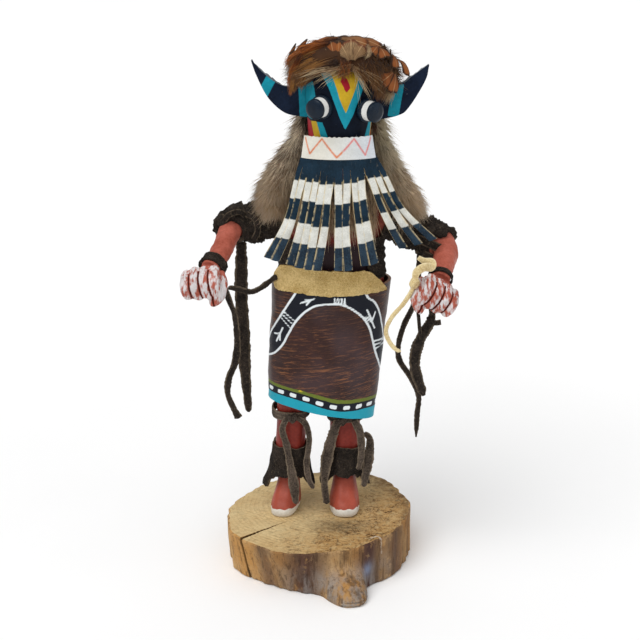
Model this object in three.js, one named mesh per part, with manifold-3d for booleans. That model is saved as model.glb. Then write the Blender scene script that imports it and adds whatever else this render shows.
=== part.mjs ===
// A carved and dressed kachina doll on a slice of log, in millimetres.
// +Z is up, the figure faces -Y, and the origin is on the underside of the log at its middle.
// "Right" and "left" in a name are the doll's own.

import * as THREE from 'three';
import { mergeVertices } from 'three/addons/utils/BufferGeometryUtils.js';
import Module from 'manifold-3d';

const wasm = await Module();
wasm.setup();

// ---------------------------------------------------------------- driving dimensions

const CLEARANCE = 0.35; // air left between two pieces that touch
const LEATHER = 1.2; // thickness of the thin leather pieces

const LOG = { radius: 52, height: 28, middle: [1, 4], sides: 46 };
const BULGE = { bearing: 0.94, reach: 3.4, spread: 0.38 }; // where the trunk once forked, behind the left foot
const UNDERCUT = { bearing: -2.18, reach: 9, spread: 0.66 }; // the saw leaned in under the front
const KNOT = { bearing: -1.24, reach: 16.5, spreadRight: 0.25, spreadLeft: 0.18, height: 12 };
const CRACK = { rim: [-49, -34.5], end: [-15.5, -7.1], halfWidth: 1.3 };

const LEG = { sides: 12, right: { hip: -13.5, foot: -17, turn: -0.22 }, left: { hip: 16, foot: 15.8, turn: 0.02 } };
const SHIN = { ankle: 46, knee: 86, crotch: 108 };

// Each ring of the trunk: height, middle across, half width, middle in depth, half depth.
const TRUNK = [
  [104, 3.7, 24.5, 10, 12.5],
  [110, 4, 27, 10, 15.2],
  [166, 7.9, 28.9, 10, 16.2],
  [178, 8.3, 27, 10, 15.4],
  [190, 8.8, 26.2, 10, 15],
  [206, 9.8, 28.5, 10, 15],
  [218, 10.6, 26, 10, 13.6],
  [226, 11, 18, 9, 11.5],
  [232, 11.5, 10.5, 6.6, 9.5],
  [243, 12, 9.5, 4.5, 9],
];

const KILT = { top: 169, thick: 1.6, waist: [8.1, 31.4, 18.6], hem: [2.75, 29.8, 18], depthMiddle: 10 };
const HEM = { height: 92.6, slopeAcross: -0.213, slopeDeep: -0.11 };
const BELT = { thick: 1.4, bottom: 165.2, top: 180, gap: 0.6 };

const HEAD = { middle: [12, 3], turn: 0.19 };
// Each ring of the head: height, half width, half depth.
const HEAD_RINGS = [
  [243.4, 15.2, 16.2],
  [252, 16.2, 17.2],
  [263, 16.9, 18],
  [276, 17.6, 18.4],
  [284, 16.6, 17.2],
  [290, 13, 13.6],
  [293, 6.5, 7],
];
const EYE = { base: 6.3, ring: 5.2, cap: 5.4, length: 9 };
const HORN = { thick: 3.6, front: 4.5 };
const BAND = { top: 255.6, bottom: 244.2, thick: 1.2 };

const BEARD = { thick: 1, top: 243.6, split: 0.14, gap: 0.13 };
// Tips of the beard's strips from the doll's right to its left: across, deep, height.
const BEARD_TIPS = [
  [-25.2, -15, 189], [-21.5, -16, 187.8], [-13.6, -19.5, 186.6], [-9, -21, 185.4], [-4.4, -22.5, 184.9],
  [0.6, -23.5, 184.8], [11.5, -24, 184.9], [16.2, -24, 184.9], [25.6, -22.5, 187.2], [30.4, -21.5, 187.8],
  [45.6, -17, 195.4], [53.8, -13.5, 196.2], [61, -10.5, 197.8],
];

// The fur collar, from the front of the right shoulder round the nape to the left: place, half
// thickness and half height.
const RUFF = [
  [-21.5, 0, 212, 7.2, 6.8], [-24, 4, 220.5, 10, 9.8], [-18, 8, 231, 11, 12], [-9.5, 13, 244, 9, 13],
  [-4, 21, 254, 8, 14], [12, 28, 258, 8.2, 15], [28, 21, 254, 8, 14], [32.5, 13, 244, 9, 13],
  [37.5, 8, 232, 11, 12], [45.4, 3, 220.5, 10.4, 10], [50.5, -1, 212, 8, 7],
];
// Rings of the crown's cap of down: height, half width, half depth.
const CROWN = {
  middle: [15.5, 7],
  cap: [[277.5, 24.5, 20], [284, 28.5, 23], [292, 26, 21], [298.6, 18, 15], [302, 8, 7]],
  skirt: 10,
  top: 5,
  height: 304.8,
};

// Middle lines of the arms from shoulder to wrist: place and radius.
const ARM = {
  right: [[-13, 10, 206, 8.6], [-24, 10, 203.5, 8.4], [-36, 10, 201, 8], [-46, 7.5, 201.6, 7.4],
    [-50, -1, 198.6, 6.6], [-51.6, -10, 194.6, 6.3], [-53.8, -19.5, 190, 5.5], [-56.4, -27, 186.6, 5.4]],
  left: [[32, 10, 206, 8.6], [43, 10, 202, 8.4], [55, 10, 195.5, 8], [66.5, 8, 191, 7.6],
    [70, 0, 187.4, 6.8], [68.8, -9, 185, 6.3], [67, -18, 182.4, 5.6], [65.6, -24.5, 179.6, 5.4]],
};
const FINGER = { radius: 3.4, pitch: 6, bend: 6.6, sides: 5 };

// ---------------------------------------------------------------- geometry helpers

const at = (x, y, z) => new THREE.Vector3(x, y, z);
const mix = THREE.MathUtils.lerp;
const smooth = THREE.MathUtils.smoothstep;
const range = (count) => Array.from({ length: count }, (_, i) => i);
const spread = (count) => range(count).map((i) => i / (count - 1));

/** A closed body from points and triangles, turned so that its faces point out. */
function body(points, triangles) {
  const volume = triangles.reduce(
    (sum, [a, b, c]) => sum + points[a].dot(at(0, 0, 0).crossVectors(points[b], points[c])), 0);
  const geometry = new THREE.BufferGeometry().setFromPoints(points);
  geometry.setIndex(triangles.flatMap(([a, b, c]) => (volume > 0 ? [a, b, c] : [a, c, b])));
  return geometry;
}

/** A closed body through rings of points of equal count, capped by a fan at each end. */
function loft(rings) {
  const count = rings[0].length;
  const middle = (ring) => ring.reduce((sum, p) => sum.add(p), at(0, 0, 0)).divideScalar(count);
  const points = [...rings.flat(), middle(rings[0]), middle(rings.at(-1))];
  const [start, end] = [points.length - 2, points.length - 1];
  const last = (rings.length - 1) * count;
  const triangles = [];
  for (const i of range(count)) {
    const next = (i + 1) % count;
    for (const r of range(rings.length - 1)) {
      const [a, b] = [r * count + i, r * count + next];
      triangles.push([a, b, b + count], [a, b + count, a + count]);
    }
    triangles.push([start, next, i], [end, last + i, last + next]);
  }
  return body(points, triangles);
}

/** A level ring round (x, y): a power over 2 makes the oval squarer, and turn swings it about Z. */
function oval([x, y, z], halfX, halfY, sides, { power = 2, turn = 0 } = {}) {
  return range(sides).map((i) => {
    const angle = (2 * Math.PI * i) / sides;
    const [c, s] = [Math.cos(angle), Math.sin(angle)];
    const size = (Math.abs(c) ** power + Math.abs(s) ** power) ** (-1 / power);
    const [px, py] = [halfX * size * c, halfY * size * s];
    return at(x + px * Math.cos(turn) - py * Math.sin(turn), y + px * Math.sin(turn) + py * Math.cos(turn), z);
  });
}

/** A bar along a smooth line through stations [x, y, z, half width, half thickness]. Its width lies
 * across the line and across facing, so a flat strap shows its broad side towards facing. */
function bar(stations, { sides = 8, steps = Math.ceil(stations.length * 1.5), facing = at(0, -1, 0), power = 2 } = {}) {
  const line = new THREE.CatmullRomCurve3(stations.map(([x, y, z]) => at(x, y, z)), false, 'centripetal');
  const rings = spread(steps).map((t) => {
    const place = t * (stations.length - 1);
    const [low, high] = [stations[Math.floor(place)], stations[Math.ceil(place)]];
    const part = place - Math.floor(place);
    const wide = mix(low[3], high[3], part);
    const thick = mix(low[4] ?? low[3], high[4] ?? high[3], part);
    const along = line.getTangent(t);
    const across = at(0, 0, 0).crossVectors(along, facing).normalize();
    const out = at(0, 0, 0).crossVectors(across, along);
    const centre = line.getPoint(t);
    return oval([0, 0, 0], wide, thick, sides, { power }).map((p) =>
      centre.clone().addScaledVector(across, p.x).addScaledVector(out, p.y));
  });
  return loft(rings);
}

/** A flat strap of leather with a rectangular section. */
const strap = (stations, options = {}) => bar(stations, { sides: 4, power: 8, ...options });

/** A closed thin sheet. surface(u, v) gives its outer face on the columns us and rows vs, inward says
 * which way it thickens, and cells where present(column, row) is false are left open. */
function sheet(surface, us, vs, thickness, { wrap = false, present = () => true } = {}) {
  const step = 1e-3;
  const columns = wrap ? us.slice(0, -1) : us;
  const outer = columns.flatMap((u) => vs.map((v) => surface(u, v)));
  const inner = columns.flatMap((u) => vs.map((v) => {
    const alongU = surface(u + step, v).sub(surface(u - step, v));
    const alongV = surface(u, v + step).sub(surface(u, v - step));
    const normal = alongU.cross(alongV).normalize();
    return surface(u, v).addScaledVector(normal, -thickness);
  }));
  const [cellsU, cellsV] = [us.length - 1, vs.length - 1];
  const back = outer.length;
  const id = (i, j) => (i % columns.length) * vs.length + j;
  const there = (i, j) => {
    const column = wrap ? (i + cellsU) % cellsU : i;
    return column >= 0 && column < cellsU && j >= 0 && j < cellsV && present(column, j);
  };
  const triangles = [];
  const quad = (a, b, c, d) => triangles.push([a, b, c], [a, c, d]);
  for (const i of range(cellsU)) {
    for (const j of range(cellsV)) {
      if (!there(i, j)) continue;
      const [a, b, c, d] = [id(i, j), id(i + 1, j), id(i + 1, j + 1), id(i, j + 1)];
      quad(a, b, c, d);
      quad(back + d, back + c, back + b, back + a);
      if (!there(i, j - 1)) quad(b, a, back + a, back + b);
      if (!there(i, j + 1)) quad(d, c, back + c, back + d);
      if (!there(i - 1, j)) quad(a, d, back + d, back + a);
      if (!there(i + 1, j)) quad(c, b, back + b, back + c);
    }
  }
  const used = [...new Set(triangles.flat())].sort((a, b) => a - b);
  const place = new Map(used.map((old, now) => [old, now]));
  const points = [...outer, ...inner];
  return body(used.map((old) => points[old]), triangles.map((t) => t.map((k) => place.get(k))));
}

/** A board cut from the outline of points [x, z], thick along Y from its front face. */
function board(outline, front, thick) {
  const shape = new THREE.Shape(outline.map(([x, z]) => new THREE.Vector2(x, z)));
  const geometry = new THREE.ExtrudeGeometry(shape, { depth: thick, bevelEnabled: false });
  return geometry.rotateX(Math.PI / 2).translate(0, front + thick, 0);
}

/** The geometry with only its places left, and its shared corners merged. */
function welded(geometry) {
  const copy = geometry.clone();
  copy.deleteAttribute('normal');
  copy.deleteAttribute('uv');
  return mergeVertices(copy, 1e-4);
}

/** The manifold solid of a closed geometry. */
function solid(geometry) {
  const { attributes, index } = welded(geometry);
  return new wasm.Manifold(new wasm.Mesh({
    numProp: 3,
    vertProperties: new Float32Array(attributes.position.array),
    triVerts: new Uint32Array(index.array),
  }));
}

/** The three.js geometry of a manifold solid. */
function geometryOf(manifold) {
  const { vertProperties, triVerts } = manifold.getMesh();
  const geometry = new THREE.BufferGeometry();
  geometry.setAttribute('position', new THREE.BufferAttribute(new Float32Array(vertProperties), 3));
  geometry.setIndex(Array.from(triVerts));
  return geometry;
}

/** One body from several that overlap. */
const joined = (...parts) => geometryOf(parts.map(solid).reduce((sum, part) => sum.add(part)));

/** What is left of one body when another is cut away. */
const cut = (geometry, tool) => geometryOf(solid(geometry).subtract(solid(tool)));

/** The biggest single body left of a geometry after others, each swelled by the clearance, are cut away. */
function fitted(geometry, ...neighbours) {
  const left = neighbours.reduce((rest, part) => rest.subtract(solid(swelled(part))), solid(geometry));
  const pieces = left.decompose();
  return geometryOf(pieces.reduce((best, piece) => (piece.volume() > best.volume() ? piece : best)));
}

/** The geometry with every corner moved out along its normal by the clearance. */
function swelled(geometry, distance = CLEARANCE) {
  const copy = welded(geometry);
  copy.computeVertexNormals();
  const { position, normal } = copy.attributes;
  for (const i of range(position.count)) {
    position.setXYZ(
      i,
      position.getX(i) + distance * normal.getX(i),
      position.getY(i) + distance * normal.getY(i),
      position.getZ(i) + distance * normal.getZ(i));
  }
  return copy;
}

// ---------------------------------------------------------------- the log

/** A smooth hump over a stretch of bearings: 1 at its middle, and 0 well away from it. */
function hump(angle, { bearing, spread: width }, power = 2) {
  const swing = Math.atan2(Math.sin(angle - bearing), Math.cos(angle - bearing));
  return Math.exp(-(Math.abs(swing / width) ** power));
}

/** The slice of log: not quite round, undercut in front, with a knot low down and a crack. */
function logSlice() {
  const { radius, height, middle: [mx, my], sides } = LOG;
  const rings = [0, 4, 9, 15, height].map((z) => range(sides).map((i) => {
    const angle = (2 * Math.PI * i) / sides;
    const knotSide = Math.sin(angle - KNOT.bearing) < 0 ? KNOT.spreadRight : KNOT.spreadLeft;
    const knot = KNOT.reach * hump(angle, { ...KNOT, spread: knotSide }, 3) * Math.exp(-((z / KNOT.height) ** 3));
    const bark = 3.4 * Math.cos(2 * (angle - 0.73)) + BULGE.reach * hump(angle, BULGE) + 0.5 * Math.sin(9 * angle);
    const undercut = UNDERCUT.reach * hump(angle, UNDERCUT) * (1 - z / height);
    const size = radius + bark + knot - undercut;
    return at(mx + size * Math.cos(angle), my + size * Math.sin(angle), z);
  }));
  const [rim, end] = [new THREE.Vector2(...CRACK.rim), new THREE.Vector2(...CRACK.end)];
  const across = rim.clone().sub(end).normalize().rotateAround(new THREE.Vector2(), Math.PI / 2);
  const wedge = new THREE.Shape([
    end,
    rim.clone().addScaledVector(across, CRACK.halfWidth),
    rim.clone().addScaledVector(across, -CRACK.halfWidth),
  ]);
  const crack = new THREE.ExtrudeGeometry(wedge, { depth: height + 10, bevelEnabled: false }).translate(0, 0, -5);
  return cut(loft(rings), crack);
}

// ---------------------------------------------------------------- the carved figure

/** One leg with its moccasin, from the flat sole up to the hip. */
function leg({ hip, foot, turn }) {
  const forward = [Math.sin(turn), -Math.cos(turn)];
  // Each ring: height, how far its middle lies towards the toe, half length, half width.
  const shoe = [
    [LOG.height, 5.2, 14.6, 7.1], [LOG.height + 4, 5.3, 14.8, 7.3], [LOG.height + 7.5, 4.4, 13.6, 7],
    [LOG.height + 12, 2.2, 10.4, 6.4], [SHIN.ankle - 2, 0.6, 7.6, 6.2], [SHIN.ankle + 3, 0, 6.9, 6.3],
  ];
  const shin = [[58, 0, 7.8, 7.6], [68, 0, 8.6, 8.4], [SHIN.knee - 6, 0, 8.4, 8.3], [SHIN.knee + 6, 0, 8.9, 8.7],
    [SHIN.crotch + 6, 0, 9.6, 9.4]];
  const rings = [...shoe, ...shin].map(([z, ahead, halfLong, halfWide]) => {
    const up = (z - LOG.height) / (SHIN.crotch - LOG.height);
    const x = mix(foot, hip, up) + ahead * forward[0];
    const y = mix(15.2, 10, up) + ahead * forward[1];
    return oval([x, y, z], halfWide, halfLong, LEG.sides, { turn: z < SHIN.ankle ? turn : 0, power: 2.2 });
  });
  return loft(rings);
}

/** The trunk from the hips to the neck. */
const trunk = () => loft(TRUNK.map(([z, x, halfWide, y, halfDeep]) => oval([x, y, z], halfWide, halfDeep, 18)));

/** The head: a case mask, rounded on top, turned a little to its left. */
const head = () => loft(HEAD_RINGS.map(([z, halfWide, halfDeep]) =>
  oval([...HEAD.middle, z], halfWide, halfDeep, 22, { power: 2.35, turn: HEAD.turn })));

/** A stick eye pointing away from the head: dark foot, pale ring and domed cap. */
function eye(cap, bearing) {
  const along = at(Math.sin(bearing), -Math.cos(bearing), 0);
  const profile = [[0, 0], [EYE.base, 0], [EYE.base, 2.4], [EYE.ring, 2.6], [EYE.ring, 6.6], [EYE.cap, 6.8],
    [EYE.cap - 0.2, 8.6], [0, EYE.length + 0.3]];
  const geometry = new THREE.LatheGeometry(profile.map(([r, h]) => new THREE.Vector2(r, h)), 14);
  const turned = new THREE.Quaternion().setFromUnitVectors(at(0, 1, 0), along);
  return geometry.applyQuaternion(turned).translate(...cap.clone().addScaledVector(along, -EYE.length).toArray());
}

/** A flat horn: the outer edge sweeps down to the head, the inner one rises straight to the tip. */
function horn(outer, inner) {
  const edge = new THREE.SplineCurve(outer.map(([x, z]) => new THREE.Vector2(x, z))).getPoints(9);
  return board([...edge.map((p) => [p.x, p.y]), ...inner], HORN.front, HORN.thick);
}

/** Closed hand in its own frame: fingers side by side along X, curling down in front of the palm, with
 * the thumb under the first finger and a blind socket where the thumb and the first finger meet. */
function fist() {
  const { radius, pitch, bend } = FINGER;
  const fingers = range(4).map((f) => {
    const x = (f - 1.5) * pitch;
    const size = radius + (f === 3 ? -0.3 : 0.15);
    const drop = f === 3 ? 1.2 : 0;
    return bar([
      [x, -3, 6.2 - drop, size], [x, bend - 1, 5.8 - drop, size], [x, bend + 2.6, 1.5, size],
      [x, bend + 1, -4.5, size], [x, bend - 4, -8 + drop, size * 0.85],
    ], { facing: at(1, 0, 0), sides: FINGER.sides, steps: 5 });
  });
  const palm = loft([-9, 0, 7.6].map((y) => oval([0, 0, 0], 10.6, 8.4, 10, { power: 3 }).map((p) =>
    at(p.x, y, p.y * (y < -5 ? 0.72 : 1) - 0.5))));
  const thumb = bar([[-11.5, -5, -1, 3], [-12, 2.4, -4.4, 3.2], [-9.4, 7, -9.4, 3], [-6.4, 8, -11.6, 2.4]],
    { facing: at(1, 0, 0), sides: FINGER.sides, steps: 4 });
  const socket = new THREE.CylinderGeometry(1.7, 1.7, 8, 8).rotateZ(Math.PI / 2).translate(-11.5, 4.5, -0.5);
  return cut(joined(palm, ...fingers, thumb), socket);
}

/** An arm with its fist. row points from the first finger to the last, ahead from the wrist to the knuckles. */
function arm(line, { centre, row, ahead }) {
  const across = row.clone().normalize();
  const up = at(0, 0, 0).crossVectors(across, ahead).normalize();
  if (up.z < 0) up.negate();
  const forward = ahead.clone().addScaledVector(across, -ahead.dot(across)).normalize();
  const hand = fist().applyMatrix4(new THREE.Matrix4().makeBasis(across, forward, up).setPosition(centre));
  if (at(0, 0, 0).crossVectors(across, forward).dot(up) < 0) {
    hand.setIndex(Array.from(hand.index.array).reverse());
  }
  return joined(bar(line, { sides: 10, facing: at(0, 0, 1), steps: 9 }), hand);
}

// ---------------------------------------------------------------- kilt and belt

const hemHeight = (x, y) =>
  HEM.height + HEM.slopeAcross * (x - KILT.hem[0]) + HEM.slopeDeep * (y - KILT.depthMiddle);

/** A point of the kilt's outer face: angle round the waist, and share of the way down to the hem. */
function kiltPoint(angle, down, out = 0) {
  const place = (share) => {
    const halfX = mix(KILT.waist[1], KILT.hem[1], share) + out;
    const halfY = mix(KILT.waist[2], KILT.hem[2], share) + out;
    const x = mix(KILT.waist[0], KILT.hem[0], share);
    return [x + halfX * Math.cos(angle), KILT.depthMiddle + halfY * Math.sin(angle)];
  };
  const [x, y] = place(down);
  return at(x, y, mix(KILT.top, hemHeight(...place(1)), down));
}

/** The kilt: a stiff wrap of leather, open below, with a slanting hem. */
const kilt = () =>
  sheet((u, v) => kiltPoint(2 * Math.PI * u, 1 - v), spread(33), spread(3), KILT.thick, { wrap: true });

/** The belt: a strip laid across the front, round at its right end and drawn to a point at its left. */
function belt() {
  const surface = (u, v) => {
    const angle = mix(1.06, 1.93, u) * Math.PI;
    const round = Math.sqrt(Math.max(0, 1 - ((0.09 - Math.min(u, 0.09)) / 0.1) ** 2));
    const point = 1 - smooth(u, 0.72, 1.06);
    const lift = 0.9 * Math.cos(Math.PI * (u - 0.1));
    const height = (BELT.top - BELT.bottom) * round;
    const low = (BELT.top + BELT.bottom - height) / 2;
    const place = kiltPoint(angle, 0, BELT.gap + BELT.thick);
    place.z = low + height * v * point + lift * v;
    return place;
  };
  return sheet(surface, spread(17), spread(3), BELT.thick);
}

/** A strap of suede down one flank: a patch on the trunk between two angles. */
function flankStrap(from, to) {
  const surface = (u, v) => {
    const angle = mix(from, to, u) * Math.PI;
    const z = mix(171.5, 195, v);
    const k = Math.min(TRUNK.length - 2, TRUNK.findLastIndex((ring) => ring[0] <= z));
    const t = (z - TRUNK[k][0]) / (TRUNK[k + 1][0] - TRUNK[k][0]);
    const [, x, halfWide, y, halfDeep] = TRUNK[k].map((low, i) => mix(low, TRUNK[k + 1][i], t));
    const out = CLEARANCE + 0.15 + LEATHER;
    return at(x + (halfWide + out) * Math.cos(angle), y + (halfDeep + out) * Math.sin(angle), z);
  };
  return sheet(surface, spread(4), spread(4), LEATHER);
}

// ---------------------------------------------------------------- mouth band, beard, fur and feathers

/** A point on the arc in front of the mouth: across from -1 to 1, at height z, standing off by out. */
function mouthPoint(across, z, out = 0) {
  const down = (BAND.top - z) / (BAND.top - BAND.bottom);
  const half = mix(17.9, 19.6, down) + 0.4 * out;
  const middle = mix(11.3, 11.4, down);
  const front = mix(-16.6, -19.2, down) - out;
  return at(middle + half * Math.sin(1.1 * across) / Math.sin(1.1), front + 9.4 * (1 - Math.cos(1.1 * across)), z);
}

/** The pale band round the mouth, flaring downwards. */
const mouthBand = () => sheet(
  (u, v) => mouthPoint(2 * u - 1, mix(BAND.bottom, BAND.top, v)), spread(15), [0, 0.5, 1], BAND.thick);

/** The beard: one piece of leather cut into strips, which spread and swing to the doll's left. */
function beard() {
  const strips = BEARD_TIPS.length;
  const us = range(strips).flatMap((i) => [i, i + 1 - BEARD.gap]);
  const vs = [0, BEARD.split, 0.4, 0.7, 1];
  const surface = (u, v) => {
    const strip = Math.min(strips - 1, Math.max(0, Math.floor(u + 1e-6)));
    const [x, y, z] = BEARD_TIPS[strip];
    const across = u - strip - 0.5 * (1 - BEARD.gap);
    const root = mouthPoint(((2 * u) / (strips - BEARD.gap) - 1) * 0.98, BEARD.top, 0.9);
    const neighbour = BEARD_TIPS[Math.min(strips - 1, strip + 1)];
    const lean = strip === strips - 1 ? 0.3 : Math.min(0.5, (neighbour[2] - z) / (neighbour[0] - x + 1));
    const tip = at(x + 4.6 * across, y, z + 4.6 * across * lean);
    const out = 0.62 * v + 0.38 * v * v;
    return at(
      mix(root.x, tip.x, out), mix(root.y, tip.y, v) - 2.2 * Math.sin(Math.PI * v), mix(root.z, tip.z, v));
  };
  const present = (column, row) => column % 2 === 0 || row < 1;
  return sheet(surface, us, vs, BEARD.thick, { present });
}

/** The collar of fur round the nape and over both shoulders. */
const furCollar = () => bar(RUFF, { sides: 8, facing: at(0, 0, 1), steps: 15 });

/** A feather: a broad leaf from its root to its tip, cupped towards the head. */
function feather([x, y, z], bearing, rise, length, width) {
  const [c, s] = [Math.cos(bearing), Math.sin(bearing)];
  const station = (share, half) => [
    x + c * length * share * Math.cos(rise), y + s * length * share * Math.cos(rise),
    z + length * share * Math.sin(rise) - 2 * share * share, half, 0.9 - 0.5 * share];
  const stations = [station(0, width * 0.3), station(0.5, width * 0.5), station(0.85, width * 0.4), station(1, width * 0.1)];
  return bar(stations,
    { sides: 4, steps: 4, facing: at(-c * Math.sin(rise), -s * Math.sin(rise), Math.cos(rise)) });
}

/** The feathers on top of the head: a cap of down, a skirt of feathers round it, a rosette on top, two
 * that stand up over the right eye, and three that lie over the left horn. */
function featherCrown() {
  const [mx, my] = CROWN.middle;
  const cap = loft(CROWN.cap.map(([z, halfX, halfY]) => oval([mx, my, z], halfX, halfY, 16)));
  const skirt = range(CROWN.skirt).map((i) => {
    const bearing = (2 * Math.PI * (i + 0.5)) / CROWN.skirt;
    const root = [mx + 17 * Math.cos(bearing), my + 13 * Math.sin(bearing), CROWN.height - 7.5];
    return feather(root, bearing, -0.36, 15 + 1.5 * Math.cos(5 * i), 11);
  });
  const top = range(CROWN.top).map((i) => {
    const bearing = 0.6 + (2 * Math.PI * i) / CROWN.top;
    const root = [mx + 2 * Math.cos(bearing), my + 2 * Math.sin(bearing), CROWN.height - 4];
    return feather(root, bearing, 0.33, 17, 10.5);
  });
  const raised = [
    feather([-1, 4, 291], 2.9, 0.95, 12, 4.5),
    feather([4, 6, 295], 2.7, 0.8, 12, 4.5),
  ];
  const sideways = [[37, -2, 288], [39, 5, 290], [37, 12, 292]].map((root) => feather(root, 0.15, -0.5, 12, 7));
  return joined(cap, ...skirt, ...top, ...raised, ...sideways);
}

// ---------------------------------------------------------------- wraps, straps and leggings

/** A wrap round a limb, from one share of its middle line to another, in turns that swell and sink. */
function wrap(line, [from, to], { thick, turns, columns = 10, rows = 3 }) {
  const curve = new THREE.CatmullRomCurve3(line.map(([x, y, z]) => at(x, y, z)), false, 'centripetal');
  const surface = (u, v) => {
    const t = mix(from, to, v);
    const place = t * (line.length - 1);
    const limb = mix(line[Math.floor(place)][3], line[Math.ceil(place)][3], place % 1);
    const size = limb + CLEARANCE + 0.2 + thick + 0.3 * thick * (1 - Math.cos(2 * Math.PI * turns * v));
    const across = at(0, 0, 0).crossVectors(curve.getTangent(t), at(0, 0, 1)).normalize();
    const out = at(0, 0, 0).crossVectors(across, curve.getTangent(t));
    return curve.getPoint(t).addScaledVector(across, size * Math.cos(2 * Math.PI * u))
      .addScaledVector(out, size * Math.sin(2 * Math.PI * u));
  };
  return sheet(surface, spread(columns + 1), spread(rows + 1), -thick, { wrap: true });
}

/** A legging: leather round the shin, flaring below into points at the sides and over the heel. */
function legging(bottomX, topX, flare, points) {
  const surface = (u, v) => {
    const angle = 2 * Math.PI * u;
    const open = Math.max(0, 1 - v) ** 1.6;
    const tips = points.reduce((sum, [place, drop, spreadOut]) => {
      const swing = Math.atan2(Math.sin(angle - place), Math.cos(angle - place));
      const near = Math.exp(-((swing / 0.42) ** 2));
      return [sum[0] + drop * near, sum[1] + spreadOut * near];
    }, [0, 0]);
    const size = 10.4 + flare * open + tips[1] * open;
    const z = mix(51 - tips[0], 68.5, v);
    const x = mix(bottomX, topX, v);
    return at(x + size * Math.cos(angle), mix(14, 12.8, v) + (size + 0.4) * Math.sin(angle), z);
  };
  return sheet(surface, spread(19), spread(4), LEATHER, { wrap: true });
}

/** A tie below the knee: a flat ring, a knot in front, and its two loose ends down the shin. */
function kneeTie(centre, height, knot, ends) {
  const ring = sheet((u, v) => {
    const angle = 2 * Math.PI * u;
    return at(centre[0] + 10.4 * Math.cos(angle), centre[1] + 10.8 * Math.sin(angle), height + 3.6 * (v - 0.5));
  }, spread(15), [0, 1], 1.4, { wrap: true });
  const lump = new THREE.SphereGeometry(2.6, 7, 5).scale(1.15, 0.8, 1).translate(...knot);
  return joined(ring, lump, ...ends.map((end) => strap(end)));
}

// ---------------------------------------------------------------- materials

const finish = (color, roughness, metalness = 0) => new THREE.MeshStandardMaterial({ color, roughness, metalness });
const FINISH = {
  log: finish(0xc49a62, 0.85),
  body: finish(0x8f3526, 0.5),
  kilt: finish(0x3f2a2b, 0.45),
  belt: finish(0xcaa964, 0.9),
  suede: finish(0x3b332d, 0.95),
  mask: finish(0x1a2438, 0.55),
  horn: finish(0x1c2a40, 0.55),
  eye: finish(0x1c2433, 0.4),
  band: finish(0xe6e8e2, 0.65),
  beard: finish(0x2c3a50, 0.6),
  fur: finish(0x8a7a68, 1),
  feather: finish(0x8b5a2e, 0.8),
  lace: finish(0xd8c084, 0.9),
};

// ---------------------------------------------------------------- assembly

const group = new THREE.Group();

/** Adds one named piece. */
function add(name, geometry, material) {
  const mesh = new THREE.Mesh(geometry, material);
  mesh.name = name;
  group.add(mesh);
  return geometry;
}

const logBase = add('log_base', logSlice(), FINISH.log);
const figure = add('doll_body', joined(trunk(), leg(LEG.right), leg(LEG.left)), FINISH.body);
const wrapped = add('kilt', fitted(kilt(), figure), FINISH.kilt);
const belted = add('belt', fitted(belt(), wrapped, figure), FINISH.belt);

const mask = add('head', fitted(head(), figure), FINISH.mask);
const eyes = {
  right: add('right_eye', fitted(eye(at(-1.7, -20.4, 271.3), -0.58), mask), FINISH.eye),
  left: add('left_eye', fitted(eye(at(31.4, -17.4, 269), 0.72), mask), FINISH.eye),
};
const horns = {
  right: add('right_horn', fitted(horn(
    [[-34.6, 291.6], [-31.8, 283.6], [-25.8, 271.8], [-16.8, 263.6], [-5.6, 261.4]],
    [[3, 262], [3, 280], [-9.3, 277.6], [-14.6, 277.6]]), mask), FINISH.horn),
  left: add('left_horn', fitted(horn(
    [[59.2, 289], [57.3, 281], [49.6, 267.6], [43.8, 262.4], [37.4, 259.6]],
    [[24, 260], [24, 280], [40, 279], [45.6, 279.4], [50.6, 283.6], [57.6, 289.9]]), mask), FINISH.horn),
};
const band = add('mouth_band', fitted(mouthBand(), mask, figure), FINISH.band);
const fringe = add('beard', fitted(beard(), band, mask, figure), FINISH.beard);

const arms = {
  right: add('right_arm', fitted(arm(ARM.right,
    { centre: at(-60.6, -33, 182.2), row: at(-0.98, 0.1, -0.16), ahead: at(-0.25, -0.93, -0.3) }), figure),
  FINISH.body),
  left: add('left_arm', fitted(arm(ARM.left,
    { centre: at(64, -31.5, 174.6), row: at(0.83, 0.1, -0.5), ahead: at(-0.1, -0.95, -0.3) }), figure),
  FINISH.body),
};
const wraps = {
  right: add('right_arm_wrap', fitted(wrap(ARM.right, [0.24, 0.5], { thick: 1.5, turns: 1.5 }), figure), FINISH.suede),
  left: add('left_arm_wrap', fitted(wrap(ARM.left, [0.22, 0.46], { thick: 1.5, turns: 1.5 }), figure), FINISH.suede),
};
add('right_wrist_wrap', wrap(ARM.right, [0.85, 0.93], { thick: 1.1, turns: 1, rows: 2 }), FINISH.suede);
add('left_wrist_wrap', wrap(ARM.left, [0.85, 0.93], { thick: 1.1, turns: 1, rows: 2 }), FINISH.suede);

add('right_side_strap', fitted(flankStrap(0.84, 1.16), figure, belted, wrapped, wraps.right, arms.right), FINISH.suede);
add('left_side_strap', fitted(flankStrap(1.8, 2.16), figure, belted, wrapped, wraps.left, arms.left), FINISH.suede);

const collar = add('fur_collar', fitted(furCollar(), mask, figure, arms.right, arms.left, wraps.right, wraps.left,
  band, fringe, horns.right, horns.left), FINISH.fur);
add('feather_crown', fitted(featherCrown(), mask, horns.right, horns.left, collar, eyes.right, eyes.left),
  FINISH.feather);

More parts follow.
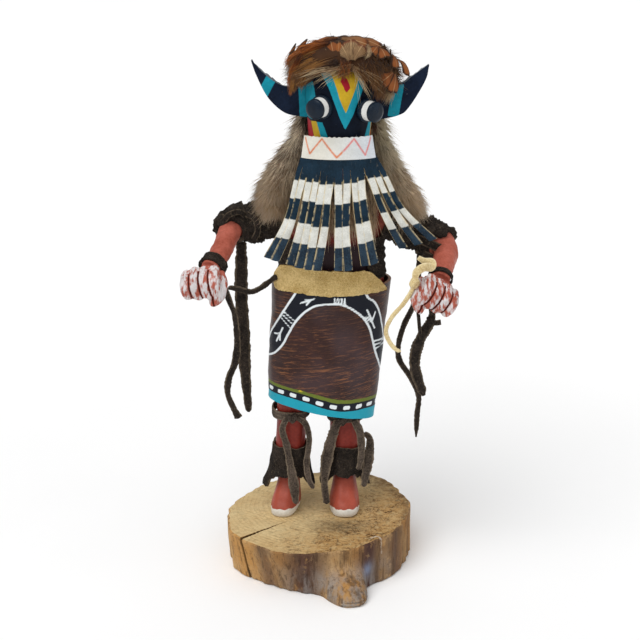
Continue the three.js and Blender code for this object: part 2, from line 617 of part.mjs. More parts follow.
const leggings = {
  right: add('right_legging', fitted(legging(-16, -15.2, 2, [[3.35, 9.5, 3.2], [-0.35, 8.5, 2.4], [1.6, 6, 1]]), figure),
    FINISH.suede),
  left: add('left_legging', fitted(legging(16.2, 16.8, 2, [[3.5, 7, 1.4], [-0.2, 8.5, 2.6], [1.6, 6, 1]]), figure),
    FINISH.suede),
};
add('right_knee_tie', fitted(kneeTie([-14.8, 11.4], 89, [-13.6, 0, 88.6], [
  [[-17, 0.6, 88.6, 1.7, 0.8], [-19.6, -1, 82, 1.8, 0.8], [-17.2, -0.8, 72, 2, 0.7], [-15.2, -1.6, 60, 2.3, 0.7],
    [-13.2, -3, 48, 2.9, 0.7], [-12, -5.6, 37.5, 1.5, 0.6]],
  [[-11, 0.6, 88.6, 1.7, 0.8], [-6.4, 1.6, 84, 1.6, 0.8], [-4.4, 2.4, 74, 1.6, 0.7], [-6, 0.4, 60, 1.8, 0.7],
    [-4.6, -1.4, 51, 1.6, 0.7], [-2, -1.6, 45.5, 1.2, 0.6]],
]), figure, leggings.right, wrapped), FINISH.suede);
add('left_knee_tie', fitted(kneeTie([16.4, 11.4], 82.6, [14.6, 0, 82.2], [
  [[12, 0.6, 82.6, 1.7, 0.8], [8, 0.8, 74, 2.4, 0.8], [5.4, 0, 60, 2.6, 0.7], [4.2, -0.6, 47, 1.8, 0.7],
    [5.6, -1.4, 35.5, 1.6, 0.6]],
  [[21, 0.6, 82.6, 2, 0.8], [24.6, 1.6, 76, 2.4, 0.8], [25.2, -0.2, 66, 1.9, 0.7], [23.6, -1, 57, 1.5, 0.6]],
]), figure, leggings.left, wrapped), FINISH.suede);

// Loose thongs and laces, each hanging at its full length.
add('right_elbow_strip', strap([
  [-41.4, 8, 190.6, 2.4, 0.6], [-41.6, 8, 178, 2.6, 0.6], [-42, 8, 162, 2.9, 0.6], [-41.4, 8, 140, 3, 0.6],
  [-40.6, 8, 117, 3.1, 0.6], [-38.8, 8, 89, 2.5, 0.6],
]), FINISH.suede);
const looseEnds = {
  right_hand_thong: [
    [-49.4, -29.6, 178.4], [-46, -31, 169], [-43.6, -30, 160.7], [-42.7, -29, 145.4], [-44.2, -29, 133.9],
    [-47.6, -29, 125], [-48.4, -29, 116], [-45.6, -29, 107.8], [-42.6, -29, 101.4]].map((p) => [...p, 1.6, 0.6]),
  waist_thong: [
    [-46.6, -26.5, 176.2], [-42.4, -22.5, 174], [-36, -15, 169.6], [-31.6, -9.4, 169.2], [-28, -4, 170.2],
    [-26.4, 0.6, 171]].map((p) => [...p, 1.5, 0.8]),
  left_elbow_strip: [
    [56.6, 6, 185.4], [55.6, 5, 170], [53.5, 4, 155.6], [48.3, 3, 143.6], [45.4, 3, 131.7], [46.2, 3, 122.5],
    [52.2, 3, 112.7], [57.2, 3, 101.7], [56.6, 3, 89.2], [56.3, 3, 75.7]].map((p) => [...p, 1.5, 0.6]),
};
for (const [name, line] of Object.entries(looseEnds)) {
  add(name, fitted(strap(line), arms.right, arms.left, wraps.left, belted, wrapped), FINISH.suede);
}

/** The strap gathered in the left hand: a thin strand and a broad one that meet in a knot. */
function handStrap() {
  const broad = strap([
    [61.4, -29, 166.4, 1.6, 1], [61.6, -28.6, 161.4, 1.6, 1], [60.4, -28, 156, 2.2, 1.1], [56.4, -28, 149, 2.9, 0.9],
    [53.4, -28, 140, 3, 0.8], [53, -28, 131, 3, 0.8], [55.4, -28, 122, 3, 0.7], [58.2, -28, 114.4, 2.6, 0.6]]);
  const thin = strap([[53.6, -29.6, 166.6, 0.9, 0.6], [54.4, -29, 160, 0.9, 0.6], [55.4, -28.2, 151, 1, 0.6]]);
  const nub = strap([[60.4, -28.4, 158.4, 1.4, 1], [63.4, -29, 157, 1.5, 0.9], [66.4, -29, 157.4, 0.9, 0.6]],
    { facing: at(0, -1, 0) });
  const knot = new THREE.SphereGeometry(2.5, 7, 5).scale(1, 0.8, 1.1).translate(61, -28.4, 158.2);
  return joined(broad, thin, nub, knot);
}
add('left_hand_strap', fitted(handStrap(), arms.left), FINISH.suede);

/** The pale lace in the left hand: a folded flat end, a knot, and the lace hanging from it. */
function lace() {
  const fold = strap([
    [51.6, -35.4, 184, 1.6, 0.8], [53, -33.6, 190, 2.6, 0.8], [57, -31, 194.4, 2.8, 0.8], [59.4, -28, 197, 1.8, 0.7]]);
  const knot = new THREE.SphereGeometry(2.7, 7, 5).scale(1, 0.85, 1.15).translate(51.4, -35.6, 182);
  const tail = bar([
    [51.2, -35.8, 181], [49.6, -36.4, 177], [45.6, -36.4, 170.3], [39.8, -36.2, 162.9], [36.8, -36, 155.4],
    [38.4, -36, 149.4], [42, -36, 144.6], [44.8, -36, 143.4]].map((p) => [...p, 1.2]), { sides: 8 });
  return joined(fold, knot, tail);
}
add('left_hand_lace', fitted(lace(), arms.left), FINISH.lace);

export default group;
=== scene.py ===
"""The looks of a carved and dressed kachina doll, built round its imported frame.

Sizes are in millimetres, as the doll was laid out, and MM turns them into the scene's metres.
+Z is up, the figure faces -Y, and "right" and "left" are the doll's own.
"""

import logging
import math
from collections.abc import Callable, Sequence
from dataclasses import dataclass, field
from enum import Enum
from functools import cache

import bpy  # noqa: E402
import numpy as np  # noqa: E402
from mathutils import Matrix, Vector  # noqa: E402


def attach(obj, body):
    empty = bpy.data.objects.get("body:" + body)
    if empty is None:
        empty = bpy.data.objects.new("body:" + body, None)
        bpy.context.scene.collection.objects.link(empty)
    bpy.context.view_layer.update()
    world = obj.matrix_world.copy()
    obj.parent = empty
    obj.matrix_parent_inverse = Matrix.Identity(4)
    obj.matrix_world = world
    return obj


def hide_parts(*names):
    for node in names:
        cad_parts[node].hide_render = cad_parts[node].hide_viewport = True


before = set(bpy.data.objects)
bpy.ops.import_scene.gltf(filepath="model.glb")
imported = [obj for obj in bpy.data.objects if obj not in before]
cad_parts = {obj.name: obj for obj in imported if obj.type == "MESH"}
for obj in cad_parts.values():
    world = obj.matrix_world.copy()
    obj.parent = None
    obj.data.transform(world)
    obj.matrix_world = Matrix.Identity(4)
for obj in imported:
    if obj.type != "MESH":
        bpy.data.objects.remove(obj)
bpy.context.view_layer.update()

LOG = logging.getLogger("doll")
MM = 0.001
TURN = 2 * math.pi
Array = np.ndarray
Number = Array | float
Object = bpy.types.Object
Material = bpy.types.Material
Socket = bpy.types.NodeSocket
Tree = bpy.types.NodeTree
Place = tuple[float, float, float]

# ---------------------------------------------------------------- numbers on whole arrays


def lerp(low: Number, high: Number, share: Number) -> Array:
    """The value at a share of the way from low to high."""
    return low + (high - low) * np.asarray(share)


def ease(low: float, high: float, value: Array) -> Array:
    """Smooth step: 0 below low, 1 above high, and 3t^2 - 2t^3 between them."""
    t = np.clip((np.asarray(value, float) - low) / (high - low), 0, 1)
    return t * t * (3 - 2 * t)


def bell(value: Array, middle: float, width: float, power: float = 2) -> Array:
    """A hump: e to the minus |(value - middle) / width| to a power."""
    return np.exp(-(np.abs((np.asarray(value) - middle) / width) ** power))


def swing(angle: Array, bearing: float) -> Array:
    """The turn from a bearing to an angle, from minus half a turn to half a turn."""
    return np.arctan2(np.sin(angle - bearing), np.cos(angle - bearing))


def unit(vectors: Array) -> Array:
    """The vectors over their own lengths."""
    return vectors / np.maximum(np.linalg.norm(vectors, axis=-1, keepdims=True), 1e-9)


def grid(columns: int | Array, rows: int | Array) -> list[Array]:
    """Two parameters on a grid, each from 0 to 1 in a number of steps, or at the values given."""
    axes = (np.linspace(0, 1, a) if isinstance(a, int) else a for a in (columns, rows))
    return np.meshgrid(*axes, indexing="ij")


def around(sides: int) -> Array:
    """Evenly spread angles, once round."""
    return np.arange(sides) * TURN / sides


def waves(spots: Array, wavelength: float, seed: int) -> Array:
    """Smooth noise of about -1 to 1: a mean of nine plane waves in seeded directions.

    Args:
        spots: places, with any number of coordinates on the last axis.
        wavelength: the middle wavelength, in the places' own unit.
        seed: fixes directions, phases and lengths.

    Returns:
        One value for each place.
    """
    count = 9
    chance = np.random.default_rng(seed)
    spots = np.asarray(spots, float)
    heading = unit(chance.normal(size=(count, spots.shape[-1])))
    pace = TURN / wavelength * chance.uniform(0.6, 1.7, (count, 1))
    phase = chance.uniform(0, TURN, count)
    return np.sin(spots @ (heading * pace).T + phase).sum(-1) / math.sqrt(count)


def spline(stations: Sequence, share: Array) -> Array:
    """A Catmull-Rom curve through stations, read at shares 0 to 1 of the way along them.

    Args:
        stations: two or more rows of numbers.
        share: where to read, any shape.

    Returns:
        One row of numbers for each share.
    """
    knots = np.asarray(stations, float)
    ends = np.vstack([2 * knots[0] - knots[1], knots, 2 * knots[-1] - knots[-2]])
    place = np.clip(np.asarray(share, float), 0, 1) * (len(knots) - 1)
    index = np.minimum(place.astype(int), len(knots) - 2)
    t = (place - index)[..., None]
    a, b, c, d = (ends[index + k] for k in range(4))
    return 0.5 * (2 * b + (c - a) * t + (2 * a - 5 * b + 4 * c - d) * t**2 + (3 * b - a - 3 * c + d) * t**3)


def smooth_line(points: Sequence, count: int = 60) -> Array:
    """A curve through a few points, as many short straight steps."""
    return spline(points, np.linspace(0, 1, count))


def line_distance(spots: Array, line: Sequence) -> Array:
    """The distance from each flat spot to a line of straight steps: the least over its steps.

    Args:
        spots: places, (..., 2).
        line: the line's corners, (n, 2).

    Returns:
        The distances, (...).
    """
    line = np.asarray(line, float)
    best = np.full(spots.shape[:-1], np.inf)
    for start, end in zip(line[:-1], line[1:]):
        step = end - start
        share = np.clip(((spots - start) @ step) / max(step @ step, 1e-12), 0, 1)
        best = np.minimum(best, np.linalg.norm(spots - start - share[..., None] * step, axis=-1))
    return best


def area_distance(spots: Array, outline: Sequence) -> Array:
    """The distance from each flat spot to a closed outline, below zero inside it.

    Inside is where a ray to the right crosses the outline an odd number of times.

    Args:
        spots: places, (..., 2).
        outline: its corners, (n, 2), in either direction.

    Returns:
        The signed distances, (...).
    """
    corners = np.asarray(outline, float)
    inside = np.zeros(spots.shape[:-1], bool)
    x, y = spots[..., 0], spots[..., 1]
    for (ax, ay), (bx, by) in zip(corners, np.roll(corners, -1, axis=0)):
        spans = (ay > y) != (by > y)
        cross = ax + (y - ay) / (by - ay if by != ay else 1e-12) * (bx - ax)
        inside ^= spans & (x < cross)
    distance = line_distance(spots, np.vstack([corners, corners[:1]]))
    return np.where(inside, -distance, distance)


def nearest(*distances: Array) -> Array:
    """The union of painted shapes: the least of their distances."""
    return np.minimum.reduce(distances)


# ---------------------------------------------------------------- skins: closed meshes in millimetres


@dataclass
class Skin:
    """A closed surface.

    Args:
        points: places in millimetres, one row each.
        quads: four point numbers a row.
        triangles: three point numbers a row.
        fields: a value for each point, by name.
        cut: a value for each face, quads first: 1 on a cut edge.
    """

    points: Array
    quads: Array = field(default_factory=lambda: np.zeros((0, 4), int))
    triangles: Array = field(default_factory=lambda: np.zeros((0, 3), int))
    fields: dict[str, Array] = field(default_factory=dict)
    cut: Array | None = None

    def fans(self) -> tuple[Array, list[Array]]:
        """Every face as triangles, and the places of their three corners."""
        fans = np.vstack([self.triangles, self.quads[:, [0, 1, 2]], self.quads[:, [0, 2, 3]]])
        return fans, [self.points[fans[:, k]] for k in range(3)]

    def outward(self) -> "Skin":
        """The same skin, turned inside out if its volume comes out below zero."""
        a, b, c = self.fans()[1]
        if np.einsum("ij,ij->", a, np.cross(b, c)) < 0:
            self.quads, self.triangles = self.quads[:, ::-1], self.triangles[:, ::-1]
        return self

    def normals(self) -> Array:
        """The unit normal at each point: the mean of its faces' normals, by area."""
        fans, (a, b, c) = self.fans()
        face = np.cross(b - a, c - a)
        total = np.zeros_like(self.points)
        for k in range(3):
            for axis in range(3):
                total[:, axis] += np.bincount(fans[:, k], face[:, axis], len(total))
        return unit(total)


def lattice(columns: int, rows: int, wrap: bool = False) -> Array:
    """The four-sided faces of a grid of points kept column by column.

    Args:
        columns: how many columns.
        rows: how many points in each.
        wrap: whether the last column is joined to the first.

    Returns:
        Four point numbers a row.
    """
    i, j = np.meshgrid(np.arange(columns if wrap else columns - 1), np.arange(rows - 1), indexing="ij")
    i, j = i.ravel(), j.ravel()
    after = (i + 1) % columns
    return np.stack([i * rows + j, after * rows + j, after * rows + j + 1, i * rows + j + 1], axis=1)


def tube_faces(rings: int, sides: int, steps: int) -> Array:
    """The faces between rings of points kept ring by ring, in a number of steps from the first ring on."""
    column, row = np.divmod(lattice(sides, steps + 1, wrap=True), steps + 1)
    return row % rings * sides + column


def loft(rings: Array, fields: dict[str, Array] | None = None) -> Skin:
    """A closed body through rings of points, with a fan over each end.

    Args:
        rings: (rings, points round, 3).
        fields: values on the same grid, by name.

    Returns:
        The skin. Each fan's middle takes the mean of its ring.
    """
    count, sides = rings.shape[:2]
    points = np.vstack([rings.reshape(-1, 3), rings[0].mean(0), rings[-1].mean(0)])
    here = np.arange(sides)
    after = (here + 1) % sides
    last = (count - 1) * sides
    start, end = (np.full(sides, count * sides + k) for k in (0, 1))
    triangles = np.vstack([np.stack([start, here, after], 1), np.stack([end, last + after, last + here], 1)])
    values = {
        name: np.concatenate([value.ravel(), [value[0].mean(), value[-1].mean()]])
        for name, value in (fields or {}).items()
    }
    return Skin(points, tube_faces(count, sides, count - 1), triangles, values).outward()


def slab(
    outer: Array,
    thickness: float,
    wrap: bool = False,
    present: Array | None = None,
    fields: dict[str, Array] | None = None,
) -> Skin:
    """A closed sheet: the outer grid, the same grid moved in along its normals, and walls between.

    The normal is the cross product of the steps along the grid's two ways. A wall stands wherever a
    present cell has no present neighbour, and walls are marked as cut edges.

    Args:
        outer: (columns, rows, 3).
        thickness: how far the inner face lies behind the outer one; below zero, in front of it.
        wrap: whether the last column is followed by the first.
        present: which cells are there, (columns or columns - 1, rows - 1).
        fields: values on the grid, by name.

    Returns:
        The skin.
    """
    columns, rows = outer.shape[:2]
    if wrap:
        along_u = np.roll(outer, -1, axis=0) - np.roll(outer, 1, axis=0)
    else:
        along_u = np.gradient(outer, axis=0)
    inner = outer - unit(np.cross(along_u, np.gradient(outer, axis=1))) * thickness
    cells = (columns if wrap else columns - 1, rows - 1)
    there = np.ones(cells, bool) if present is None else present
    back = columns * rows
    front = lattice(columns, rows, wrap)[there.ravel()]
    i, j = np.meshgrid(*(np.arange(n) for n in cells), indexing="ij")
    a, b = i * rows + j, (i + 1) % columns * rows + j
    corners = {(0, -1): (b, a), (0, 1): (a + 1, b + 1), (-1, 0): (a, a + 1), (1, 0): (b + 1, b)}
    walls = []
    for (di, dj), (first, second) in corners.items():
        ni, nj = (i + di) % cells[0] if wrap else i + di, j + dj
        inside = (ni >= 0) & (ni < cells[0]) & (nj >= 0) & (nj < cells[1])
        neighbour = np.zeros(cells, bool)
        neighbour[inside] = there[ni[inside], nj[inside]]
        open_side = there & ~neighbour
        p, q = first[open_side], second[open_side]
        walls.append(np.stack([p, q, q + back, p + back], axis=1))
    quads = np.vstack([front, front[:, ::-1] + back, *walls])
    cut = np.arange(len(quads)) >= 2 * len(front)
    points = np.vstack([outer.reshape(-1, 3), inner.reshape(-1, 3)])
    used, quads = np.unique(quads, return_inverse=True)
    values = {name: np.concatenate([value.ravel()] * 2)[used] for name, value in (fields or {}).items()}
    return Skin(points[used], quads.reshape(-1, 4), fields=values, cut=cut).outward()


def merged(*skins: Skin) -> Skin:
    """Several skins as one; a field that one of them lacks is 0 on it."""
    names = dict.fromkeys(name for skin in skins for name in skin.fields)
    starts = np.cumsum([0] + [len(skin.points) for skin in skins])
    values = {
        name: np.concatenate([skin.fields.get(name, np.zeros(len(skin.points))) for skin in skins])
        for name in names
    }
    return Skin(
        np.vstack([skin.points for skin in skins]),
        np.vstack([skin.quads + start for skin, start in zip(skins, starts)]),
        np.vstack([skin.triangles + start for skin, start in zip(skins, starts)]),
        values,
    )


def frames(line: Array, facing: Sequence) -> tuple[Array, Array]:
    """Across and out directions along a line: across lies square to the line and to facing."""
    along = unit(np.gradient(line, axis=0))
    across = unit(np.cross(along, np.broadcast_to(np.asarray(facing, float), line.shape)))
    return across, np.cross(across, along)


def superoval(angle: Array, power: float) -> tuple[Array, Array]:
    """Two coordinates of |x|^p + |y|^p = 1 at each angle: 2 is round, and more is squarer."""
    c, s = np.cos(angle), np.sin(angle)
    size = (np.abs(c) ** power + np.abs(s) ** power) ** (-1 / power)
    return size * c, size * s


def ribbon(
    line: Array,
    half_width: Number,
    half_thick: Number,
    facing: Sequence = (0, -1, 0),
    sides: int = 12,
    power: float = 6,
) -> Skin:
    """A strap carried along a line: at each step an oval |x|^p + |y|^p = 1, scaled to its halves.

    Args:
        line: (steps, 3) middle line.
        half_width: half its broad side, along the line.
        half_thick: half its thin side.
        facing: the way its broad side looks, for the whole line or for each step.
        sides: points round the section.
        power: 2 is round, and more is squarer.

    Returns:
        The closed skin, with a field edge that is 1 at the narrow sides.
    """
    across, out = frames(line, facing)
    x, y = superoval(around(sides), power)
    wide, thick = (np.broadcast_to(half, len(line))[:, None, None] for half in (half_width, half_thick))
    rings = line[:, None] + across[:, None] * wide * x[:, None] + out[:, None] * thick * y[:, None]
    return loft(rings, {"edge": np.broadcast_to(ease(0.86, 1.0, np.abs(x)), rings.shape[:2])})


def blob(middle: Sequence, halves: Sequence, seed: int, lumps: float = 0.12) -> Skin:
    """A lumpy ball: an ellipsoid whose radius swells and sinks by smooth noise, such as a knot.

    Args:
        middle: its middle.
        halves: its half sizes along the three axes.
        seed: fixes the lumps.
        lumps: their height, over the radius.

    Returns:
        The skin.
    """
    sides = 28
    phi = np.linspace(0, math.pi, sides // 2 + 1)[1:-1, None]
    theta = around(sides)[None]
    ball = np.stack([np.sin(phi) * np.cos(theta), np.sin(phi) * np.sin(theta), np.cos(phi) + 0 * theta], -1)
    ball = ball * (1 + lumps * waves(ball, 1.1, seed))[..., None]
    return loft(np.asarray(middle, float) + ball * np.asarray(halves, float))


def hairs(
    roots: Array, ways: Array, lengths: Array, widths: Array, droop: Array, shade: Array, rings: int = 1
) -> Skin:
    """Tapering three-sided hairs: root + way * length * s + droop * length * s^2, for s from 0 to 1.

    Args:
        roots: (n, 3) places they grow from.
        ways: (n, 3) directions at the root.
        lengths: (n,) lengths.
        widths: (n,) radii at the root.
        droop: (n, 3) bend of the tip, over the length.
        shade: (n,) a value for the finish.
        rings: rings below the tip.

    Returns:
        One skin with fields along (0 at the root, 1 at the tip) and shade.
    """
    count = len(roots)
    share = np.append(np.arange(rings) / rings, 1.0)
    side = unit(np.cross(ways, ways[:, [1, 2, 0]] + 0.3))
    other = np.cross(ways, side)
    corner = around(3)[:, None]
    spoke = side[:, None] * np.cos(corner) + other[:, None] * np.sin(corner)
    s = share[:, None]
    reach = lengths[:, None, None]
    centres = roots[:, None] + ways[:, None] * reach * s + droop[:, None] * reach * s**2
    radius = widths[:, None] * (1 - 0.55 * share[:-1] ** 1.5)
    body = centres[:, :-1, None] + spoke[:, None] * radius[:, :, None, None]
    points = np.concatenate([body.reshape(count, rings * 3, 3), centres[:, -1:]], axis=1)
    size, top = rings * 3 + 1, (rings - 1) * 3
    caps = np.array([[0, 2, 1]] + [[top + k, top + (k + 1) % 3, rings * 3] for k in range(3)])
    shift = (np.arange(count) * size)[:, None, None]
    level, k = np.meshgrid(np.arange(rings - 1) * 3, np.arange(3), indexing="ij")
    a, b = (level + k).ravel(), (level + (k + 1) % 3).ravel()
    walls = np.stack([a, b, b + 3, a + 3], axis=1)
    return Skin(
        points.reshape(-1, 3),
        (walls[None] + shift).reshape(-1, 4),
        (caps[None] + shift).reshape(-1, 3),
        {"along": np.tile(np.append(np.repeat(share[:-1], 3), 1.0), count), "shade": np.repeat(shade, size)},
    ).outward()


def make(skin: Skin, name: str, material: Material, crease: float = 40) -> Object:
    """Puts a skin into a new mesh object, in metres and at the origin.

    Args:
        skin: the closed surface.
        name: the piece's name.
        material: its finish.
        crease: the angle, in degrees, past which an edge stays sharp.

    Returns:
        The object.
    """
    mesh = bpy.data.meshes.new(name)
    quads, triangles = len(skin.quads), len(skin.triangles)
    loops = np.concatenate([skin.quads.ravel(), skin.triangles.ravel()]).astype(np.int32)
    starts = np.concatenate([np.arange(quads) * 4, quads * 4 + np.arange(triangles) * 3]).astype(np.int32)
    mesh.vertices.add(len(skin.points))
    mesh.vertices.foreach_set("co", (skin.points * MM).astype(np.float32).ravel())
    mesh.loops.add(len(loops))
    mesh.loops.foreach_set("vertex_index", loops)
    mesh.polygons.add(len(starts))
    mesh.polygons.foreach_set("loop_start", starts)
    mesh.update(calc_edges=True)
    for key, value in skin.fields.items():
        mesh.attributes.new(key, "FLOAT", "POINT").data.foreach_set("value", value.astype(np.float32))
    if skin.cut is not None:
        mesh.attributes.new("cut", "FLOAT", "FACE").data.foreach_set("value", skin.cut.astype(np.float32))
    mesh.shade_smooth()
    mesh.set_sharp_from_angle(angle=math.radians(crease))
    mesh.materials.append(material)
    piece = bpy.data.objects.new(name, mesh)
    bpy.context.scene.collection.objects.link(piece)
    return piece


def read(values: bpy.types.bpy_prop_collection, key: str, kind: type, width: int = 1) -> Array:
    """One property of a mesh's points, corners or faces, as an array.

    Args:
        values: the mesh's collection.
        key: the property's name.
        kind: its number type.
        width: numbers in each.

    Returns:
        The numbers, one after another.
    """
    found = np.empty(len(values) * width, kind)
    values.foreach_get(key, found)
    return found


def carved(skin: Skin, grain: float, rounds: int) -> Skin:
    """Overlapping bodies as one carved block: rebuilt on a grid of cubes and smoothed.

    Args:
        skin: bodies that run into each other.
        grain: the cubes' size in millimetres.
        rounds: smoothing rounds.

    Returns:
        The joined skin, without fields.
    """
    blank = bpy.data.materials.get("blank") or bpy.data.materials.new("blank")
    piece = make(skin, "carving_block", blank)
    remesh = piece.modifiers.new("Block", "REMESH")
    remesh.mode = "VOXEL"
    remesh.voxel_size = grain * MM
    soften = piece.modifiers.new("Soften", "SMOOTH")
    soften.factor = 0.5
    soften.iterations = rounds
    graph = bpy.context.evaluated_depsgraph_get()
    mesh = bpy.data.meshes.new_from_object(piece.evaluated_get(graph), depsgraph=graph)
    points = read(mesh.vertices, "co", np.float32, 3)
    corners = read(mesh.loops, "vertex_index", np.int32)
    sizes = read(mesh.polygons, "loop_total", np.int32)
    starts = np.cumsum(sizes) - sizes
    quads, triangles = (corners[starts[sizes == n][:, None] + np.arange(n)] for n in (4, 3))
    bpy.data.objects.remove(piece)
    bpy.data.meshes.remove(mesh)
    return Skin(points.reshape(-1, 3).astype(float) / MM, quads, triangles)


# ---------------------------------------------------------------- shader nodes


def tint(code: str) -> tuple[float, float, float, float]:
    """A colour written #rrggbb, as the shader's linear values: ((c + 0.055) / 1.055) ^ 2.4."""
    parts = [int(code[k: k + 2], 16) / 255 for k in (1, 3, 5)]
    return (*[p / 12.92 if p < 0.04 else ((p + 0.055) / 1.055) ** 2.4 for p in parts], 1.0)


class Graph:
    """Adds nodes to one tree, and joins each to what it is given."""

    def __init__(self, tree: Tree) -> None:
        """Args: tree: the tree to build in."""
        self.tree = tree

    def node(
        self, kind: str, inlets: dict | None = None, outlet: int | str | None = 0, **settings: object
    ) -> Socket:
        """Adds a node.

        Args:
            kind: its type.
            inlets: what each input is fed, a value or another node's output, by name or number.
            outlet: the output to give back, or None for all of them.
            settings: properties of the node itself.

        Returns:
            The output.
        """
        made = self.tree.nodes.new(kind)
        for key, value in settings.items():
            setattr(made, key, value)
        for key, value in (inlets or {}).items():
            if isinstance(value, Socket):
                self.tree.links.new(value, made.inputs[key])
            else:
                made.inputs[key].default_value = tint(value) if isinstance(value, str) else value
        return made.outputs if outlet is None else made.outputs[outlet]

    def math(self, way: str, a: object, b: object = 0.0, c: object = 0.0) -> Socket:
        """One sum on numbers."""
        return self.node("ShaderNodeMath", {0: a, 1: b, 2: c}, operation=way)

    def times(self, first: object, *others: object) -> object:
        """The product of numbers."""
        for other in others:
            first = self.math("MULTIPLY", first, other)
        return first

    def scaled(self, a: object, b: object, c: object) -> Socket:
        """a times b, plus c."""
        return self.math("MULTIPLY_ADD", a, b, c)

    def less(self, a: object, b: object) -> Socket:
        """a less b."""
        return self.math("SUBTRACT", a, b)

    def mix(self, share: object, a: object, b: object, way: str = "MIX") -> Socket:
        """A blend of two colours."""
        return self.node("ShaderNodeMix", {0: share, 6: a, 7: b}, 2, data_type="RGBA", blend_type=way)

    def lay(self, color: object, paint: object, *shares: object) -> Socket:
        """A paint laid over a colour, as thick as the product of the shares."""
        return self.mix(self.times(*shares), color, paint)

    def remap(self, value: Socket, low: object, high: object, start: float = 0.0, end: float = 1.0) -> Socket:
        """The value carried from low..high to start..end, and held there."""
        return self.node("ShaderNodeMapRange", {0: value, 1: low, 2: high, 3: start, 4: end})

    def place(self, stretch: Place = (1, 1, 1), turn: Place = (0, 0, 0), shift: Place = (0, 0, 0)) -> Socket:
        """Object coordinates, shifted, turned and stretched."""
        spot = self.node("ShaderNodeTexCoord", outlet="Object")
        inlets = {"Vector": spot, "Location": shift, "Rotation": turn, "Scale": stretch}
        return self.node("ShaderNodeMapping", inlets)

    def noise(self, vector: Socket, size: float, detail: float = 3, rough: float = 0.55) -> Socket:
        """Noise whose lumps are about size millimetres across."""
        inlets = {"Vector": vector, "Scale": 1 / (size * MM), "Detail": detail, "Roughness": rough}
        return self.node("ShaderNodeTexNoise", inlets, "Fac")

    def patches(self, vector: Socket, size: float, detail: float, rough: float, low: float, high: float,
                start: float = 0.0, end: float = 1.0) -> Socket:
        """Noise whose values low to high are carried to start to end."""
        return self.remap(self.noise(vector, size, detail, rough), low, high, start, end)

    def value(self, name: str) -> Socket:
        """A value kept on the mesh."""
        return self.node("ShaderNodeAttribute", outlet="Fac", attribute_name=name)

    def bump(self, height: Socket, rise: float, strength: float) -> Socket:
        """A normal from a height of 0 to 1 that stands for a rise in millimetres."""
        return self.node("ShaderNodeBump", {"Height": height, "Distance": rise * MM, "Strength": strength})

    def surface(self, color: Socket, roughness: object, normal: Socket, **plain: float) -> None:
        """Ends a material: the Principled shader and the output.

        Args:
            color: the base colour.
            roughness: the roughness.
            normal: the shading normal.
            plain: values set on the shader's own sockets, with _ for a space in each name.
        """
        inlets = {"Base Color": color, "Roughness": roughness, "Normal": normal}
        inlets |= {key.replace("_", " "): value for key, value in plain.items()}
        shader = self.node("ShaderNodeBsdfPrincipled", inlets, "BSDF")
        self.node("ShaderNodeOutputMaterial", {"Surface": shader}, None)


Recipe = Callable[[Graph, dict[str, Socket]], dict[str, Socket]]


def shared_group(name: str, inlets: Sequence[str], recipe: Recipe) -> Tree:
    """A shader node group, built once.

    Args:
        name: the group's name.
        inlets: the inputs' names, all numbers after a first one, Vector.
        recipe: makes the outputs, all numbers, from the inputs.

    Returns:
        The group's tree.
    """
    if name in bpy.data.node_groups:
        return bpy.data.node_groups[name]
    tree = bpy.data.node_groups.new(name, "ShaderNodeTree")
    for key in ("Vector", *inlets):
        kind = "NodeSocketVector" if key == "Vector" else "NodeSocketFloat"
        tree.interface.new_socket(key, in_out="INPUT", socket_type=kind)
    start = tree.nodes.new("NodeGroupInput")
    made = recipe(Graph(tree), {key: start.outputs[key] for key in ("Vector", *inlets)})
    for key in made:
        tree.interface.new_socket(key, in_out="OUTPUT", socket_type="NodeSocketFloat")
    end = tree.nodes.new("NodeGroupOutput")
    for key, socket in made.items():
        tree.links.new(socket, end.inputs[key])
    return tree


def group_noise(
    g: Graph, inlet: dict[str, Socket], detail: float, rough: float = 0.5, faster: float = 0
) -> Socket:
    """Noise on a group's own Vector and Scale, or on a Scale some times faster."""
    scale = g.times(inlet["Scale"], faster) if faster else inlet["Scale"]
    inlets = {"Vector": inlet["Vector"], "Scale": scale, "Detail": detail, "Roughness": rough}
    return g.node("ShaderNodeTexNoise", inlets, "Fac")


def mottle(g: Graph, spot: Socket, size: float, fine: float) -> Socket:
    """Uneven tone: noise about size millimetres across, and a share of fine noise."""

    def recipe(g: Graph, inlet: dict[str, Socket]) -> dict[str, Socket]:
        """Coarse noise, and fine noise about zero added in its share."""
        quick = g.less(group_noise(g, inlet, 4.0, faster=9.0), 0.5)
        tone = g.scaled(quick, inlet["Fine"], group_noise(g, inlet, 3.0))
        return {"Tone": g.remap(tone, 0.3, 0.7)}

    tree = shared_group("mottle", ("Scale", "Fine"), recipe)
    inlets = {"Vector": spot, "Scale": 1 / (size * MM), "Fine": fine}
    return g.node("ShaderNodeGroup", inlets, "Tone", node_tree=tree)


def streaks(g: Graph, vector: Socket, scale: float, level: float) -> tuple[Socket, Socket]:
    """Thin streaks where noise on stretched coordinates is over a level: their mask, and the noise."""

    def recipe(g: Graph, inlet: dict[str, Socket]) -> dict[str, Socket]:
        """The noise, and where it is over the level."""
        lines = group_noise(g, inlet, 5.0, 0.65)
        return {"Mask": g.remap(lines, inlet["Level"], g.math("ADD", inlet["Level"], 0.12)), "Height": lines}

    tree = shared_group("streaks", ("Scale", "Level"), recipe)
    made = g.node("ShaderNodeGroup", {"Vector": vector, "Scale": scale, "Level": level}, None, node_tree=tree)
    return made["Mask"], made["Height"]


